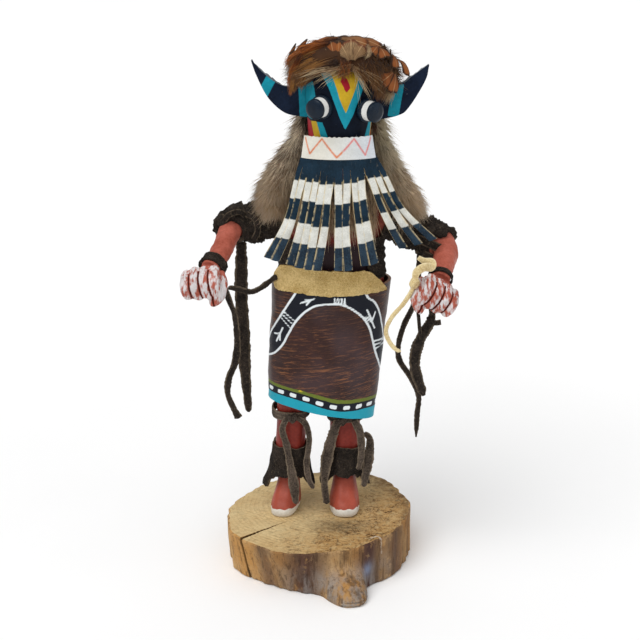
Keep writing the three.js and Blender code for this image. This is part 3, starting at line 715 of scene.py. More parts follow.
def painted(g: Graph, area: str, vector: Socket, scale: float, shake: float, soft: float) -> Socket:
    """A painted area's mask, 1 inside: its signed distance, shaken by noise and cut off near 0.

    Args:
        g: the material's graph.
        area: the mesh's field that holds the distance in millimetres.
        vector: where the noise is read.
        scale: how many of its lumps a metre holds.
        shake: how far the edge wanders, in millimetres.
        soft: half the width over which it fades out.

    Returns:
        The mask.
    """

    def recipe(g: Graph, inlet: dict[str, Socket]) -> dict[str, Socket]:
        """The distance, shaken, then carried from 1 inside to 0 outside."""
        shaken = g.less(group_noise(g, inlet, 4.0, 0.6), 0.5)
        moved = g.scaled(shaken, inlet["Shake"], inlet["Distance"])
        return {"Mask": g.remap(moved, g.times(inlet["Soft"], -1.0), inlet["Soft"], 1.0, 0.0)}

    tree = shared_group("painted_edge", ("Distance", "Scale", "Shake", "Soft"), recipe)
    inlets = {"Vector": vector, "Distance": g.value(area), "Scale": scale, "Shake": shake, "Soft": soft}
    return g.node("ShaderNodeGroup", inlets, "Mask", node_tree=tree)


def hide_grain(g: Graph, spot: Socket, size: float, nap: float) -> tuple[Socket, Socket]:
    """Leather's grain: cells of a size in millimetres with creases, and a fine nap: height and tone."""

    def recipe(g: Graph, inlet: dict[str, Socket]) -> dict[str, Socket]:
        """Creases between cells, with the nap laid over them."""
        inlets = {"Vector": inlet["Vector"], "Scale": inlet["Scale"]}
        cells = g.node("ShaderNodeTexVoronoi", inlets, "Distance", feature="DISTANCE_TO_EDGE")
        fuzz = group_noise(g, inlet, 6.0, faster=2.2)
        height = g.scaled(g.less(fuzz, 0.5), inlet["Nap"], g.remap(cells, 0.0, 0.25))
        return {"Height": height, "Tone": g.remap(fuzz, 0.3, 0.7)}

    tree = shared_group("hide", ("Scale", "Nap"), recipe)
    inlets = {"Vector": spot, "Scale": 1 / (size * MM), "Nap": nap}
    made = g.node("ShaderNodeGroup", inlets, None, node_tree=tree)
    return made["Height"], made["Tone"]


# ---------------------------------------------------------------- finishes


@dataclass(frozen=True)
class Finish:
    """A finish, with its material's name."""

    name: str

    def dress(self, g: Graph, spot: Socket) -> None:
        """Fills the material's graph, given object coordinates."""
        raise NotImplementedError

    def build(self) -> Material:
        """The material."""
        material = bpy.data.materials.new(self.name)
        material.use_nodes = True
        material.node_tree.nodes.clear()
        g = Graph(material.node_tree)
        self.dress(g, g.place())
        return material


@dataclass(frozen=True)
class Coat:
    """One painted colour over an area.

    Args:
        area: the field that holds the area's signed distance in millimetres.
        color: the paint.
        shake: how far its edge wanders, in millimetres.
        grain: the size of that wandering, in millimetres.
        soft: half the width over which it fades out.
        rough: its roughness.
        stretch: its edge's noise is long along the axis with a small number.
    """

    area: str
    color: str
    shake: float = 0.5
    grain: float = 1.6
    soft: float = 0.12
    rough: float = 0.5
    stretch: Place = (1, 1, 1)


@dataclass(frozen=True)
class Paint(Finish):
    """Brushed poster paint over wood or leather, with further coats on top.

    Args:
        base: the ground colour.
        shade: a darker tone that it drifts to.
        coats: later coats, first to last.
        rough: the ground's roughness.
        brush: how strongly brush marks show.
        scale: the size of the tone's drift in millimetres.
        chips: how much of it is worn through, 0 to 1.
        under: what shows where it is worn.
        edge: the colour of cut edges, if it has any.
        gloss: the strength of its mirror light.
    """

    base: str
    shade: str
    coats: tuple[Coat, ...] = ()
    rough: float = 0.5
    brush: float = 0.5
    scale: float = 12
    chips: float = 0.0
    under: str = "#b98a5a"
    edge: str | None = None
    gloss: float = 0.07

    def dress(self, g: Graph, spot: Socket) -> None:
        """The ground, each coat over it, brush marks, chips and cut edges."""
        tone = mottle(g, spot, self.scale, 0.6)
        color = g.mix(tone, self.base, self.shade)
        rough = g.remap(tone, 0.0, 1.0, self.rough - 0.06, self.rough + 0.08)
        cover = 0.0
        for coat in self.coats:
            mask = painted(g, coat.area, g.place(coat.stretch), 1 / (coat.grain * MM), coat.shake, coat.soft)
            color = g.mix(mask, color, g.mix(g.times(tone, 0.22), coat.color, "#101010", "MULTIPLY"))
            rough = g.math("ADD", g.times(rough, g.less(1.0, mask)), g.times(mask, coat.rough))
            cover = g.math("MAXIMUM", cover, mask)
        marks, height = streaks(g, g.place((1, 1, 0.15)), 1400.0, 0.55)
        color = g.mix(g.times(marks, 0.18 * self.brush), color, "#ffffff", "SOFT_LIGHT")
        height = g.scaled(cover, 0.5, g.times(height, self.brush))
        if self.chips:
            worn = g.patches(spot, 2.2, 6, 0.7, 0.72 - 0.2 * self.chips, 0.75 - 0.2 * self.chips)
            color = g.mix(worn, color, self.under)
            height = g.less(height, g.times(worn, 0.6))
        if self.edge:
            color = g.mix(g.value("cut"), color, self.edge)
        g.surface(color, rough, g.bump(height, 0.12, 0.6), Specular_IOR_Level=self.gloss)


@dataclass(frozen=True)
class Suede(Finish):
    """Napped leather: uneven tone, a fuzzy grain and paler cut edges.

    Args:
        dark: the colour of its hollows.
        light: the colour of its brushed parts.
        edge: the colour of cut edges.
        sheen: how much its nap catches light.
        specks: the share of small dark specks.
        rise: the grain's height in millimetres.
        bias: how far the tone leans to light, -0.5 to 0.5.
        flecks: the share of small flecks in the edge's colour.
    """

    dark: str
    light: str
    edge: str
    sheen: float = 0.04
    specks: float = 0.3
    rise: float = 0.35
    bias: float = 0.0
    flecks: float = 0.0

    def dress(self, g: Graph, spot: Socket) -> None:
        """Tone, specks, flecks, and the rim of cut and narrow edges."""
        height, nap = hide_grain(g, spot, 1.1, 1.6)
        tone = g.math("ADD", g.times(mottle(g, spot, 9, 0.9), 0.65), g.times(nap, 0.35))
        color = g.mix(g.math("ADD", tone, self.bias), self.dark, self.light)
        color = g.lay(color, self.dark, g.patches(spot, 0.8, 5, 0.7, 0.6, 0.68), self.specks)
        color = g.lay(color, self.edge, g.patches(spot, 1.5, 6, 0.75, 0.56, 0.66), self.flecks)
        trimmed = g.math("MAXIMUM", g.value("cut"), g.times(g.value("edge"), 0.9))
        color = g.lay(color, self.edge, trimmed, g.patches(spot, 3.0, 3, 0.55, 0.35, 0.6, 0.25, 1.0))
        g.surface(color, 0.92, g.bump(height, self.rise, 0.9), Specular_IOR_Level=0.02,
                  Sheen_Weight=self.sheen, Sheen_Roughness=0.6)


@dataclass(frozen=True)
class Fleece(Finish):
    """Fur or down: each hair runs from a root colour to a tip colour, and each lock has its own tone.

    Args:
        root: the colour next to the skin.
        light: the tips' colour where the lock's tone is high.
        dark: the tips' colour where it is low.
        tip: the colour of the last bit.
        side: the tips' colour on the doll's left, where it differs.
        low: the tips' colour down at the shoulders.
    """

    root: str
    light: str
    dark: str
    tip: str
    side: str
    low: str = "#8a6642"

    def dress(self, g: Graph, spot: Socket) -> None:
        """Tone by lock, by place on the doll, and along each hair."""
        across, height = (g.node("ShaderNodeSeparateXYZ", {0: spot}, axis) for axis in "XZ")
        drift = g.times(g.noise(spot, 14), 0.6)
        tone = g.remap(g.scaled(g.value("shade"), 0.95, drift), 0.3, 1.0)
        lock = g.mix(tone, self.dark, self.light)
        lock = g.lay(lock, self.side, g.remap(across, 0.0, 0.03), g.remap(height, 0.225, 0.248, 0.1, 0.75))
        lock = g.mix(g.remap(height, 0.243, 0.212, 0.0, 0.75), lock, self.low)
        along = g.value("along")
        color = g.mix(g.remap(along, 0.0, 0.45), self.root, lock)
        color = g.lay(color, self.tip, g.remap(along, 0.7, 1.0), 0.8)
        fine = g.bump(g.noise(g.place((1, 1, 0.3)), 0.6), 0.2, 0.5)
        g.surface(color, 0.8, fine, Specular_IOR_Level=0.15, Sheen_Weight=0.08, Sheen_Roughness=0.5)


@dataclass(frozen=True)
class LogWood(Finish):
    """A sawn slice of log: rings and saw marks on its ends, weathered fibres round its side.

    Args:
        pith: where the rings are centred, in millimetres.
        pale: the freshest end grain.
        golden: the stained end grain.
        ring: the dark lines of the rings.
        side: the clean sapwood of the side.
        stain: its dark stains.
        grey: its weathered streaks.
    """

    name: str = "log_wood"
    pith: Place = (6, 14, 0)
    pale: str = "#d8c191"
    golden: str = "#ba9560"
    ring: str = "#85603a"
    side: str = "#b98a50"
    stain: str = "#4b332d"
    grey: str = "#8d8680"

    def end_grain(self, g: Graph, spot: Socket, stained: Socket) -> tuple[Socket, Socket]:
        """The sawn ends' colour and height: growth rings, saw marks, stains, flecks, dust, and the painted
        shadow in front of the doll's left foot.
        """
        centred = g.place(shift=tuple(-p * MM for p in self.pith))
        flat = g.node("ShaderNodeVectorMath", {0: centred, 1: (1, 1, 0)}, operation="MULTIPLY")
        reach = g.node("ShaderNodeVectorMath", {0: flat}, "Value", operation="LENGTH")
        wander = g.times(g.less(g.noise(spot, 26, 2), 0.5), 5 * MM)
        rings = g.math("SINE", g.times(g.math("ADD", reach, wander), TURN / (2.6 * MM)))
        stain = g.value("stain")
        top = g.mix(g.scaled(stain, 0.7, g.times(stained, 0.5)), self.pale, self.golden)
        clear = g.patches(spot, 18, 2, 0.55, 0.35, 0.7, 0.04, 0.28)
        top = g.lay(top, self.ring, g.remap(rings, 0.3, 1.0), clear)
        saw, height = streaks(g, g.place((0.35, 1.6, 1), (0, 0, 0.5)), 420.0, 0.56)
        top = g.lay(top, self.ring, saw, g.scaled(stain, 0.4, 0.3))
        patches = g.patches(spot, 9, 4, 0.6, 0.4, 0.6, 0.35, 1.0)
        top = g.lay(top, "#946a3a", patches, stain, 0.4)
        flecks = g.times(g.patches(spot, 2.1, 6, 0.85, 0.5, 0.55), patches)
        top = g.lay(top, "#43270f", flecks, g.scaled(stain, 0.72, 0.28))
        top = g.lay(top, "#6d5236", g.value("rim"), g.patches(spot, 5, 4, 0.7, 0.35, 0.6, 0.1, 0.8))
        top = g.lay(top, "#cdb98c", g.patches(spot, 3.5, 5, 0.7, 0.5, 0.62), 0.35)
        # painted shadow in front of the doll's left foot, darkening the top
        top = g.lay(top, "#4d4130", g.value("smudge"), g.patches(spot, 3, 5, 0.7, 0.3, 0.55, 0.3, 1.0), 0.7)
        return top, g.math("ADD", g.times(height, 0.5), g.times(rings, 0.06))

    def sapwood(self, g: Graph, spot: Socket) -> tuple[Socket, Socket]:
        """The side's colour and height: weathered, silvered and grimy patches over upright fibres."""
        fibres, height = streaks(g, g.place((1, 1, 0.06)), 520.0, 0.52)
        color = g.mix(g.patches(g.place((1, 1, 0.4)), 14, 4, 0.65, 0.4, 0.58), self.side, "#c09c6c")
        weather = g.patches(g.place((1, 1, 0.6)), 10, 5, 0.7, 0.3, 0.44, 0.15, 1.0)
        color = g.lay(color, self.stain, g.value("weather"), weather)
        silver = g.patches(g.place((1, 1, 0.3)), 5, 4, 0.55, 0.4, 0.58)
        color = g.lay(color, self.grey, g.value("silver"), silver)
        color = g.lay(color, "#3d2a1e", fibres, 0.6)
        color = g.lay(color, "#54402f", g.patches(g.place((1, 1, 0.2)), 9, 5, 0.7, 0.52, 0.62), 0.65)
        color = g.lay(color, "#2d2019", g.patches(spot, 1.3, 5, 0.75, 0.55, 0.63), 0.4)
        return g.mix(g.value("blue"), color, "#7d88a0"), g.times(height, 1.6)

    def dress(self, g: Graph, spot: Socket) -> None:
        """The ends and the side, the crack's walls painted near black as shade, and the chalked scribble."""
        stained = mottle(g, spot, 22, 0.5)
        top, top_height = self.end_grain(g, spot, stained)
        side, side_height = self.sapwood(g, spot)
        ends = g.value("cut")
        # the crack's walls are painted near black: painted shade inside the slit
        color = g.lay(g.mix(ends, side, top), "#20140c", g.value("crack"), 0.85)
        color = g.lay(color, "#cfc8bc", painted(g, "chalk", spot, 900.0, 1.4, 0.3), 0.7)
        height = g.math("ADD", g.times(top_height, ends), g.times(side_height, g.less(1.0, ends)))
        g.surface(color, g.scaled(stained, 0.12, 0.72), g.bump(height, 0.5, 0.8), Specular_IOR_Level=0.15)


@dataclass(frozen=True)
class Plumage(Finish):
    """Small feathers: a pale shaft, barbs slanting from it, a coloured vane and a dark rim.

    The mesh keeps along (0 root, 1 tip), across (-1 to 1), shade (each feather's own tone, nearly
    black at 0) and kind (0 a rust feather, 1 a striped one).

    Args:
        rust: the vane of brown feathers.
        tan: their lighter tone.
        grey: the vane of barred feathers.
        rim: the dark rim and bars.
        down: the fluff at the root.
    """

    name: str = "plumage"
    rust: str = "#733a17"
    tan: str = "#995a2a"
    grey: str = "#6b4f34"
    rim: str = "#20130c"
    down: str = "#a88a63"

    def dress(self, g: Graph, spot: Socket) -> None:
        """Vane, stripes, rim, barbs and shaft."""
        along, across, kind, shade = (g.value(name) for name in ("along", "across", "kind", "shade"))
        out = g.math("ABSOLUTE", across)
        vane = g.mix(shade, self.rust, self.tan)
        vane = g.mix(g.remap(along, 0.0, 0.6, 0.55, 0.0), vane, self.rim)
        stripes = g.math("SINE", g.times(g.math("ADD", across, g.times(along, 0.2)), 38.0))
        blurred = g.times(g.remap(stripes, -0.6, 1.0), g.patches(spot, 2.5, 4, 0.7, 0.3, 0.6, 0.25, 1.0))
        grey = g.mix(blurred, self.grey, self.down)
        grey = g.mix(g.remap(along, 0.72, 0.9), grey, self.rust)
        color = g.mix(kind, vane, grey)
        ragged = g.times(g.less(g.noise(spot, 1.6), 0.5), 0.3)
        far = g.math("ADD", g.math("MAXIMUM", g.math("POWER", out, 3.0), g.math("POWER", along, 7.0)), ragged)
        rim = g.times(g.remap(far, 0.34, 0.6), g.less(1.0, g.times(kind, 0.6)))
        color = g.lay(color, self.rim, rim, 0.9)
        # feathers of low shade go near black: the dark spikes, and one feather that is painted shadow in a
        # gap
        color = g.mix(g.remap(shade, 0.25, 0.1, 0.0, 0.85), color, self.rim)
        barbs = g.math("SINE", g.times(g.math("ADD", across, g.times(along, 0.5)), 60.0))
        color = g.lay(color, self.rim, g.remap(barbs, 0.0, 1.0), 0.22)
        shaft = g.remap(out, 0.03, 0.07, 1.0, 0.0)
        color = g.lay(color, "#d9b484", shaft, 0.35)
        g.surface(color, 0.6, g.bump(g.scaled(barbs, 0.3, shaft), 0.15, 0.7), Specular_IOR_Level=0.2)


@dataclass(frozen=True)
class KiltLeather(Finish):
    """Smooth dark leather with level scratches, a dull gloss, a painted greyish sheen, and painted bands.

    Args:
        base: the leather.
        painted_sheen: a greyish painted sheen, laid over the leather in broad patches.
        scratch: the colour that the scratches bare.
        bands: each painted area's field, paint and wandering edge in millimetres.
    """

    name: str = "kilt_leather"
    base: str = "#2b1a17"
    painted_sheen: str = "#564b52"
    scratch: str = "#b9784a"
    bands: tuple[tuple[str, str, float], ...] = (
        ("navy", "#10131f", 0.4), ("olive", "#68752a", 0.8), ("yellow", "#c4b032", 0.8),
        ("teal", "#1b9fb5", 0.35), ("white", "#e9f0f3", 0.35))

    def dress(self, g: Graph, spot: Socket) -> None:
        """Leather, painted sheen and scratches, then the painted bands and the cut edge."""
        tone = mottle(g, spot, 24, 0.35)
        color = g.mix(g.times(tone, 0.55), self.base, "#432622")
        # painted sheen: broad greyish patches that stand for light reflected off the leather
        color = g.lay(color, self.painted_sheen, g.patches(g.place((1, 1, 0.7)), 34, 2, 0.55, 0.5, 0.72), 0.4)
        tilted = g.place(turn=(0, 0.12, 0))
        level = g.node("ShaderNodeMapping", {"Vector": tilted, "Scale": (0.07, 0.07, 1.0)})
        coarse, fine = (streaks(g, level, *kind)[0] for kind in ((1100.0, 0.54), (2900.0, 0.57)))
        scratches = g.math("MAXIMUM", g.times(coarse, 0.6), g.times(fine, 0.8))
        scratches = g.times(scratches, g.patches(spot, 20, 3, 0.55, 0.35, 0.6, 0.25, 1.0))
        color = g.lay(color, self.scratch, scratches, 0.75)
        cover = 0.0
        for area, paint, shake in self.bands:
            mask = painted(g, area, spot, 700.0, shake, 0.14)
            color = g.mix(mask, color, g.mix(g.times(tone, 0.15), paint, "#202020", "MULTIPLY"))
            cover = g.math("MAXIMUM", cover, mask)
        color = g.mix(g.value("cut"), color, "#8a5a3c")
        height = g.scaled(cover, 0.6, g.times(scratches, -0.5))
        height = g.scaled(hide_grain(g, spot, 0.9, 0.6)[0], 0.2, height)
        rough = g.math("ADD", g.scaled(scratches, 0.25, 0.36), g.times(cover, 0.12))
        g.surface(color, rough, g.bump(height, 0.1, 0.7), Specular_IOR_Level=0.15, Coat_Weight=0.08,
                  Coat_Roughness=0.35)


@dataclass(frozen=True)
class BeardLeather(Finish):
    """Painted leather strips: navy and white rows over a faded blue end, cracked paint, cream edges."""

    name: str = "beard_leather"

    def dress(self, g: Graph, spot: Socket) -> None:
        """The painted rows, the crazing and the pale edges."""
        tone = mottle(g, spot, 6, 0.8)
        color = g.mix(tone, "#1b3040", "#13222d")
        for area, light, dark, shake in (
            ("faded", "#2f4252", "#1d2935", 2.0), ("white", "#dfdfd8", "#c3c3bb", 0.9),
        ):
            color = g.mix(painted(g, area, spot, 500.0, shake, 0.25), color, g.mix(tone, light, dark))
        crazed, cracks = streaks(g, g.place((1, 1, 0.3)), 800.0, 0.62)
        color = g.lay(color, "#8a8578", crazed, 0.4)
        rim = g.times(g.value("edge"), g.patches(spot, 2.2, 3, 0.55, 0.38, 0.55, 0.0, 0.8))
        color = g.mix(g.math("MAXIMUM", g.times(g.value("cut"), 0.9), rim), color, "#d6c294")
        height = g.scaled(cracks, 0.8, g.times(tone, 0.4))
        g.surface(color, g.scaled(tone, 0.15, 0.5), g.bump(height, 0.15, 0.7), Specular_IOR_Level=0.08)


@dataclass(frozen=True)
class Floor(Finish):
    """The studio's floor: an almost even white."""

    name: str = "pale_floor"

    def dress(self, g: Graph, spot: Socket) -> None:
        """Two whites in broad patches."""
        tone = g.patches(spot, 220, 2, 0.55, 0.3, 0.7)
        g.surface(g.mix(tone, "#fbfbfb", "#f8f8f8"), 0.95, g.bump(tone, 0.05, 0.1))


# ---------------------------------------------------------------- pieces of the doll


class Slot(Enum):
    """Names of the pieces' material slots."""

    LOG = "log"
    WOOD = "painted_wood"
    KILT = "kilt_leather"
    BELT = "belt_suede"
    SUEDE = "dark_suede"
    MASK = "mask_paint"
    HORN = "horn_paint"
    EYE = "eye_paint"
    BAND = "band_leather"
    BEARD = "beard_leather"
    FUR = "fur"
    FEATHER = "feather"
    LACE = "pale_lace"


def settle(piece: Object, slot: Slot, *nodes: str) -> Object:
    """Rides a piece on the doll, hides the CAD nodes that it stands for, and reports it.

    Args:
        piece: the piece.
        slot: its material slot; not used.
        nodes: the CAD nodes that it replaces.

    Returns:
        The piece.
    """
    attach(piece, "root")
    if nodes:
        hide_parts(*nodes)
    LOG.info("%s: %d faces", piece.name, len(piece.data.polygons))
    return piece


def cut_sheet(piece: Object, wide: float, long: float, held: str, *under: str) -> Object:
    """Gives a piece back as it is; the sheet's flat width and length in millimetres are not used.

    Args:
        piece: the piece.
        wide: its flat width; not used.
        long: its flat length; not used.
        held: how it is held; not used.
        under: the pieces it rests on; not used.

    Returns:
        The piece.
    """
    return piece


@cache
def dark_suede() -> Material:
    """The brown-black suede of the wraps, ties and strips, made once."""
    return Suede(
        "brown_black_suede", "#14100d", "#453b33", "#80705c", specks=0.5, rise=0.8, flecks=0.45).build()


@cache
def worn_suede() -> Material:
    """The greyer suede of the knee ties, rubbed on its broad sides, made once."""
    return Suede(
        "worn_grey_suede", "#1f1915", "#6a5d52", "#94836e", specks=0.35, rise=0.5, flecks=0.3,
        bias=0.05).build()


@dataclass
class Studio:
    """The camera at the doll's front, a pale sweep behind it, and soft light.

    Args:
        eye: the camera's place in millimetres.
        aim: what it looks at.
        lens: its focal length on a 36 mm sensor.
        reach: the radius of the pale floor.
        room: the strength of the room's even light.
        suns: the way towards each light, its spread in degrees and its strength.
    """

    eye: Place = (1.7, -900, 486)
    aim: Place = (1.7, 0, 147.7)
    lens: float = 97.9
    reach: float = 2600
    room: float = 0.5
    suns: dict = field(default_factory=lambda: {
        "key": ((-0.4, -0.5, 1), 45, 1.9), "fill": ((0.85, -0.6, 0.5), 90, 0.5)})

    def camera(self) -> None:
        """Makes the camera and looks through it."""
        data = bpy.data.cameras.new("camera")
        data.lens, data.sensor_width = self.lens, 36
        data.clip_start, data.clip_end = 0.01, 50
        camera = bpy.data.objects.new("camera", data)
        camera.location = Vector(self.eye) * MM
        camera.rotation_euler = (Vector(self.aim) - Vector(self.eye)).to_track_quat("-Z", "Y").to_euler()
        bpy.context.scene.collection.objects.link(camera)
        bpy.context.scene.camera = camera

    def backdrop(self) -> None:
        """A pale round disc under the doll, wide enough to fill every view."""
        angle = around(96)
        rings = [np.stack([r * np.cos(angle), r * np.sin(angle), 0 * angle + z], 1)
                 for r, z in ((self.reach, -4.0), (self.reach, -0.05), (1.0, -0.05))]
        make(loft(np.array(rings)), "floor", Floor().build())

    def light(self) -> None:
        """A pale room, a soft key light from the upper left front, and a broad fill from the right."""
        world = bpy.data.worlds.new("room")
        world.use_nodes = True
        glow = world.node_tree.nodes["Background"].inputs
        glow["Color"].default_value = (1, 1, 1, 1)
        glow["Strength"].default_value = self.room
        bpy.context.scene.world = world
        bpy.context.scene.view_settings.view_transform = "Standard"
        for name, (way, spread, power) in self.suns.items():
            data = bpy.data.lights.new(name, "SUN")
            data.angle, data.energy = math.radians(spread), power
            lamp = bpy.data.objects.new(name, data)
            lamp.rotation_euler = Vector(way).to_track_quat("Z", "Y").to_euler()
            bpy.context.scene.collection.objects.link(lamp)


@dataclass
class Thong:
    """A loose strip of leather that hangs or lies free.

    Args:
        name: the CAD node that it replaces.
        route: the line it follows, from where it leaves the doll, in millimetres.
        half_widths: half its width at places spread evenly along it.
        half_thick: half its thickness.
        sides: points round its section.
        power: how square the section is.
        far_end: what its far end is; not used.
        twist: how far, in radians, its broad side turns along it.
        point: the share of its length over which its far end narrows.
        own: whether the frame has it as a node of its own.
    """

    name: str
    route: list[Place]
    half_widths: tuple[float, ...]
    half_thick: float = 0.6
    sides: int = 12
    power: float = 6
    far_end: str = "bare"
    twist: float = 0.5
    point: float = 0.06
    own: bool = True

    def skin(self) -> tuple[Skin, Array]:
        """The ribbon along the route, its edges slightly wavy, and its middle line."""
        line = smooth_line(self.route, 26 * (len(self.route) - 1))
        share = np.linspace(0, 1, len(line))
        rough = 1 + 0.07 * waves(line, 7, len(self.route)) + 0.05 * waves(line, 1.8, 12)
        width = spline([[w] for w in self.half_widths], share)[:, 0] * rough
        width *= np.sqrt(np.clip(share * 60 + 0.3, 0, 1)) * lerp(0.35, 1, ease(0, self.point, 1 - share))
        turn = self.twist * np.sin(TURN * share + len(self.name))
        facing = np.stack([np.sin(turn), -np.cos(turn), 0 * turn], 1)
        return ribbon(line, width, self.half_thick, facing, self.sides, self.power), line

    def build(self, slot: Slot, material: Material, knots: Sequence[Object] = ()) -> None:
        skin, line = self.skin()
        nodes = [self.name] if self.own else []
        piece = settle(make(skin, self.name + "_leather", material), slot, *nodes)


@dataclass
class LooseEnds:
    """Every strip and lace that hangs free, by the limb that it hangs from."""

    right_elbow: Thong = field(default_factory=lambda: Thong(
        "right_elbow_strip",
        [(-41.4, 8, 190.6), (-41.6, 8, 178), (-42, 8, 162), (-41.4, 8, 140), (-40.6, 8, 117), (-38.8, 8, 89)],
        (2.9, 3.3, 3.7, 3.8, 3.4, 1.8), twist=0.2, point=0.01))
    right_hand: Thong = field(default_factory=lambda: Thong(
        "right_hand_thong",
        [(-49.4, -29.6, 178.4), (-46, -31, 169), (-43.6, -30, 160.7), (-42.7, -29, 145.4),
         (-44.2, -29, 133.9),
         (-47.6, -29, 125), (-48.4, -29, 116), (-45.6, -29, 107.8), (-42.6, -29, 101.4)],
        (1.7, 1.6, 1.9, 2.0, 1.6, 2.3), point=0.01))
    waist: Thong = field(default_factory=lambda: Thong(
        "waist_thong",
        [(-46.6, -26.5, 176.2), (-42.4, -22.5, 174), (-36, -15, 169.6), (-31.6, -9.4, 169.2),
         (-27, -3, 170.4), (-21.4, 2.4, 173)],
        (1.5, 1.5, 1.5), half_thick=0.8, far_end="object"))
    left_elbow: Thong = field(default_factory=lambda: Thong(
        "left_elbow_strip",
        [(56.6, 6, 185.4), (55.6, 5, 170), (53.5, 4, 155.6), (48.3, 3, 143.6), (45.4, 3, 131.7),
         (46.2, 3, 122.5), (52.2, 3, 112.7), (57.2, 3, 101.7), (56.6, 3, 89.2), (56.3, 3, 75.7)],
        (1.6, 1.5, 1.6, 1.5)))

    knees: tuple = (
        ("right_knee_end_1", (
            (-17, 0.6, 88.6, 1.7), (-19.6, -1, 82, 1.8), (-17.2, -0.8, 72, 2), (-15.2, -1.6, 60, 2.3),
            (-13.2, -3, 48, 2.9), (-12, -5.6, 37.5, 1.5))),
        ("right_knee_end_2", (
            (-11, 0.6, 88.6, 1.7), (-6.4, 1.6, 84, 1.6), (-4.4, 2.4, 74, 1.6), (-6, 0.4, 60, 1.8),
            (-4.6, -1.4, 51, 1.6), (-2, -1.6, 45.5, 1.2))),
        ("left_knee_end_1", (
            (12, 0.6, 87, 2.2), (8.4, 0.8, 76, 3.0), (5.4, 0, 62, 3.4), (4.2, -0.6, 49, 2.2),
            (5.6, -1.4, 35.5, 1.8))),
        ("left_knee_end_2", (
            (21, 0.6, 87, 2), (24.6, 1.6, 78, 2.4), (25.2, -0.2, 66, 1.9), (23.6, -1, 57, 1.5))),
        ("left_knee_end_3", ((27, 8.4, 75.8, 1.2), (30.2, 6.4, 72, 2.0), (29.2, 3.4, 60, 3.0),
                             (26.6, 0.4, 45.5, 1.6))))

    def knee_ends(self) -> None:
        """The ends of the knee ties, that hang over the leggings."""
        for name, stations in self.knees:
            rows = np.array(stations)
            Thong(name, rows[:, :3].tolist(), tuple(rows[:, 3]), 0.75,
                  twist=0.1, point=0.02, own=False).build(Slot.SUEDE, worn_suede())

    def hand_strap(self) -> None:
        """The broad strap in the left hand, with the thin strand, knot and nub at its top."""
        material = dark_suede()
        thin = ribbon(
            smooth_line([(53.6, -29.6, 166.6), (54.4, -29, 160), (55.4, -28.2, 151),
                         (56.6, -28.2, 147)]), 1, 0.6)
        nub = ribbon(smooth_line([(60.4, -28.4, 158.4), (63.4, -29, 157), (66.4, -29, 157.4)], 24), 1.4, 0.8)
        knot = blob((61, -28.4, 158.2), (2.5, 2.0, 2.8), 5)
        extras = settle(make(merged(thin, nub, knot), "left_hand_strap_knot", material), Slot.SUEDE)
        Thong("left_hand_strap",
              [(61.4, -29, 166.4), (61.6, -28.6, 161.4), (60.4, -28, 156), (56.4, -28, 149), (53.4, -28, 140),
               (53, -28, 131), (55.4, -28, 122), (58.2, -28, 114.4)],
              (1.8, 1.8, 2.6, 2.9, 3.0, 3.0, 3.0, 2.6)).build(Slot.SUEDE, material, [extras])

    def hand_lace(self) -> None:
        """The pale lace in the left hand: its flat end folded over, a knot, and the lace below."""
        material = Suede(
            "pale_lace", "#b99a62", "#e6d3a2", "#f0e2ba", sheen=0.15, specks=0.15, rise=0.2, bias=0.2).build()
        fold = ribbon(
            smooth_line([(51.6, -35.4, 183.6), (52.6, -34.6, 187.6), (56.4, -33.2, 189.8),
                         (60.2, -31.4, 189.4),
                         (60.6, -30.4, 191.8), (56.6, -31, 192.6), (53.4, -31.6, 194.6)], 80),
            spline([[1.5], [2.1], [2.3], [2.4], [2.0], [1.7], [1.2]], np.linspace(0, 1, 80))[:, 0], 0.6)
        knot = blob((51.4, -35.6, 182), (2.7, 2.2, 3.0), 8)
        extras = settle(make(merged(fold, knot), "left_hand_lace_knot", material), Slot.LACE)
        Thong("left_hand_lace",
              [(51.2, -35.8, 181), (49.6, -36.4, 177), (45.6, -36.4, 170.3), (39.8, -36.2, 162.9),
               (36.8, -36, 155.4), (38.4, -36, 149.4), (42, -36, 144.6), (44.8, -36, 143.4)],
              (1.2, 1.2, 1.2), half_thick=1.0, power=2.4).build(Slot.LACE, material, [extras])

    def build(self) -> None:
        """Makes them all."""
        for thong in (self.right_elbow, self.right_hand, self.waist, self.left_elbow):
            thong.build(Slot.SUEDE, dark_suede())
        self.hand_strap()
        self.hand_lace()
        self.knee_ends()


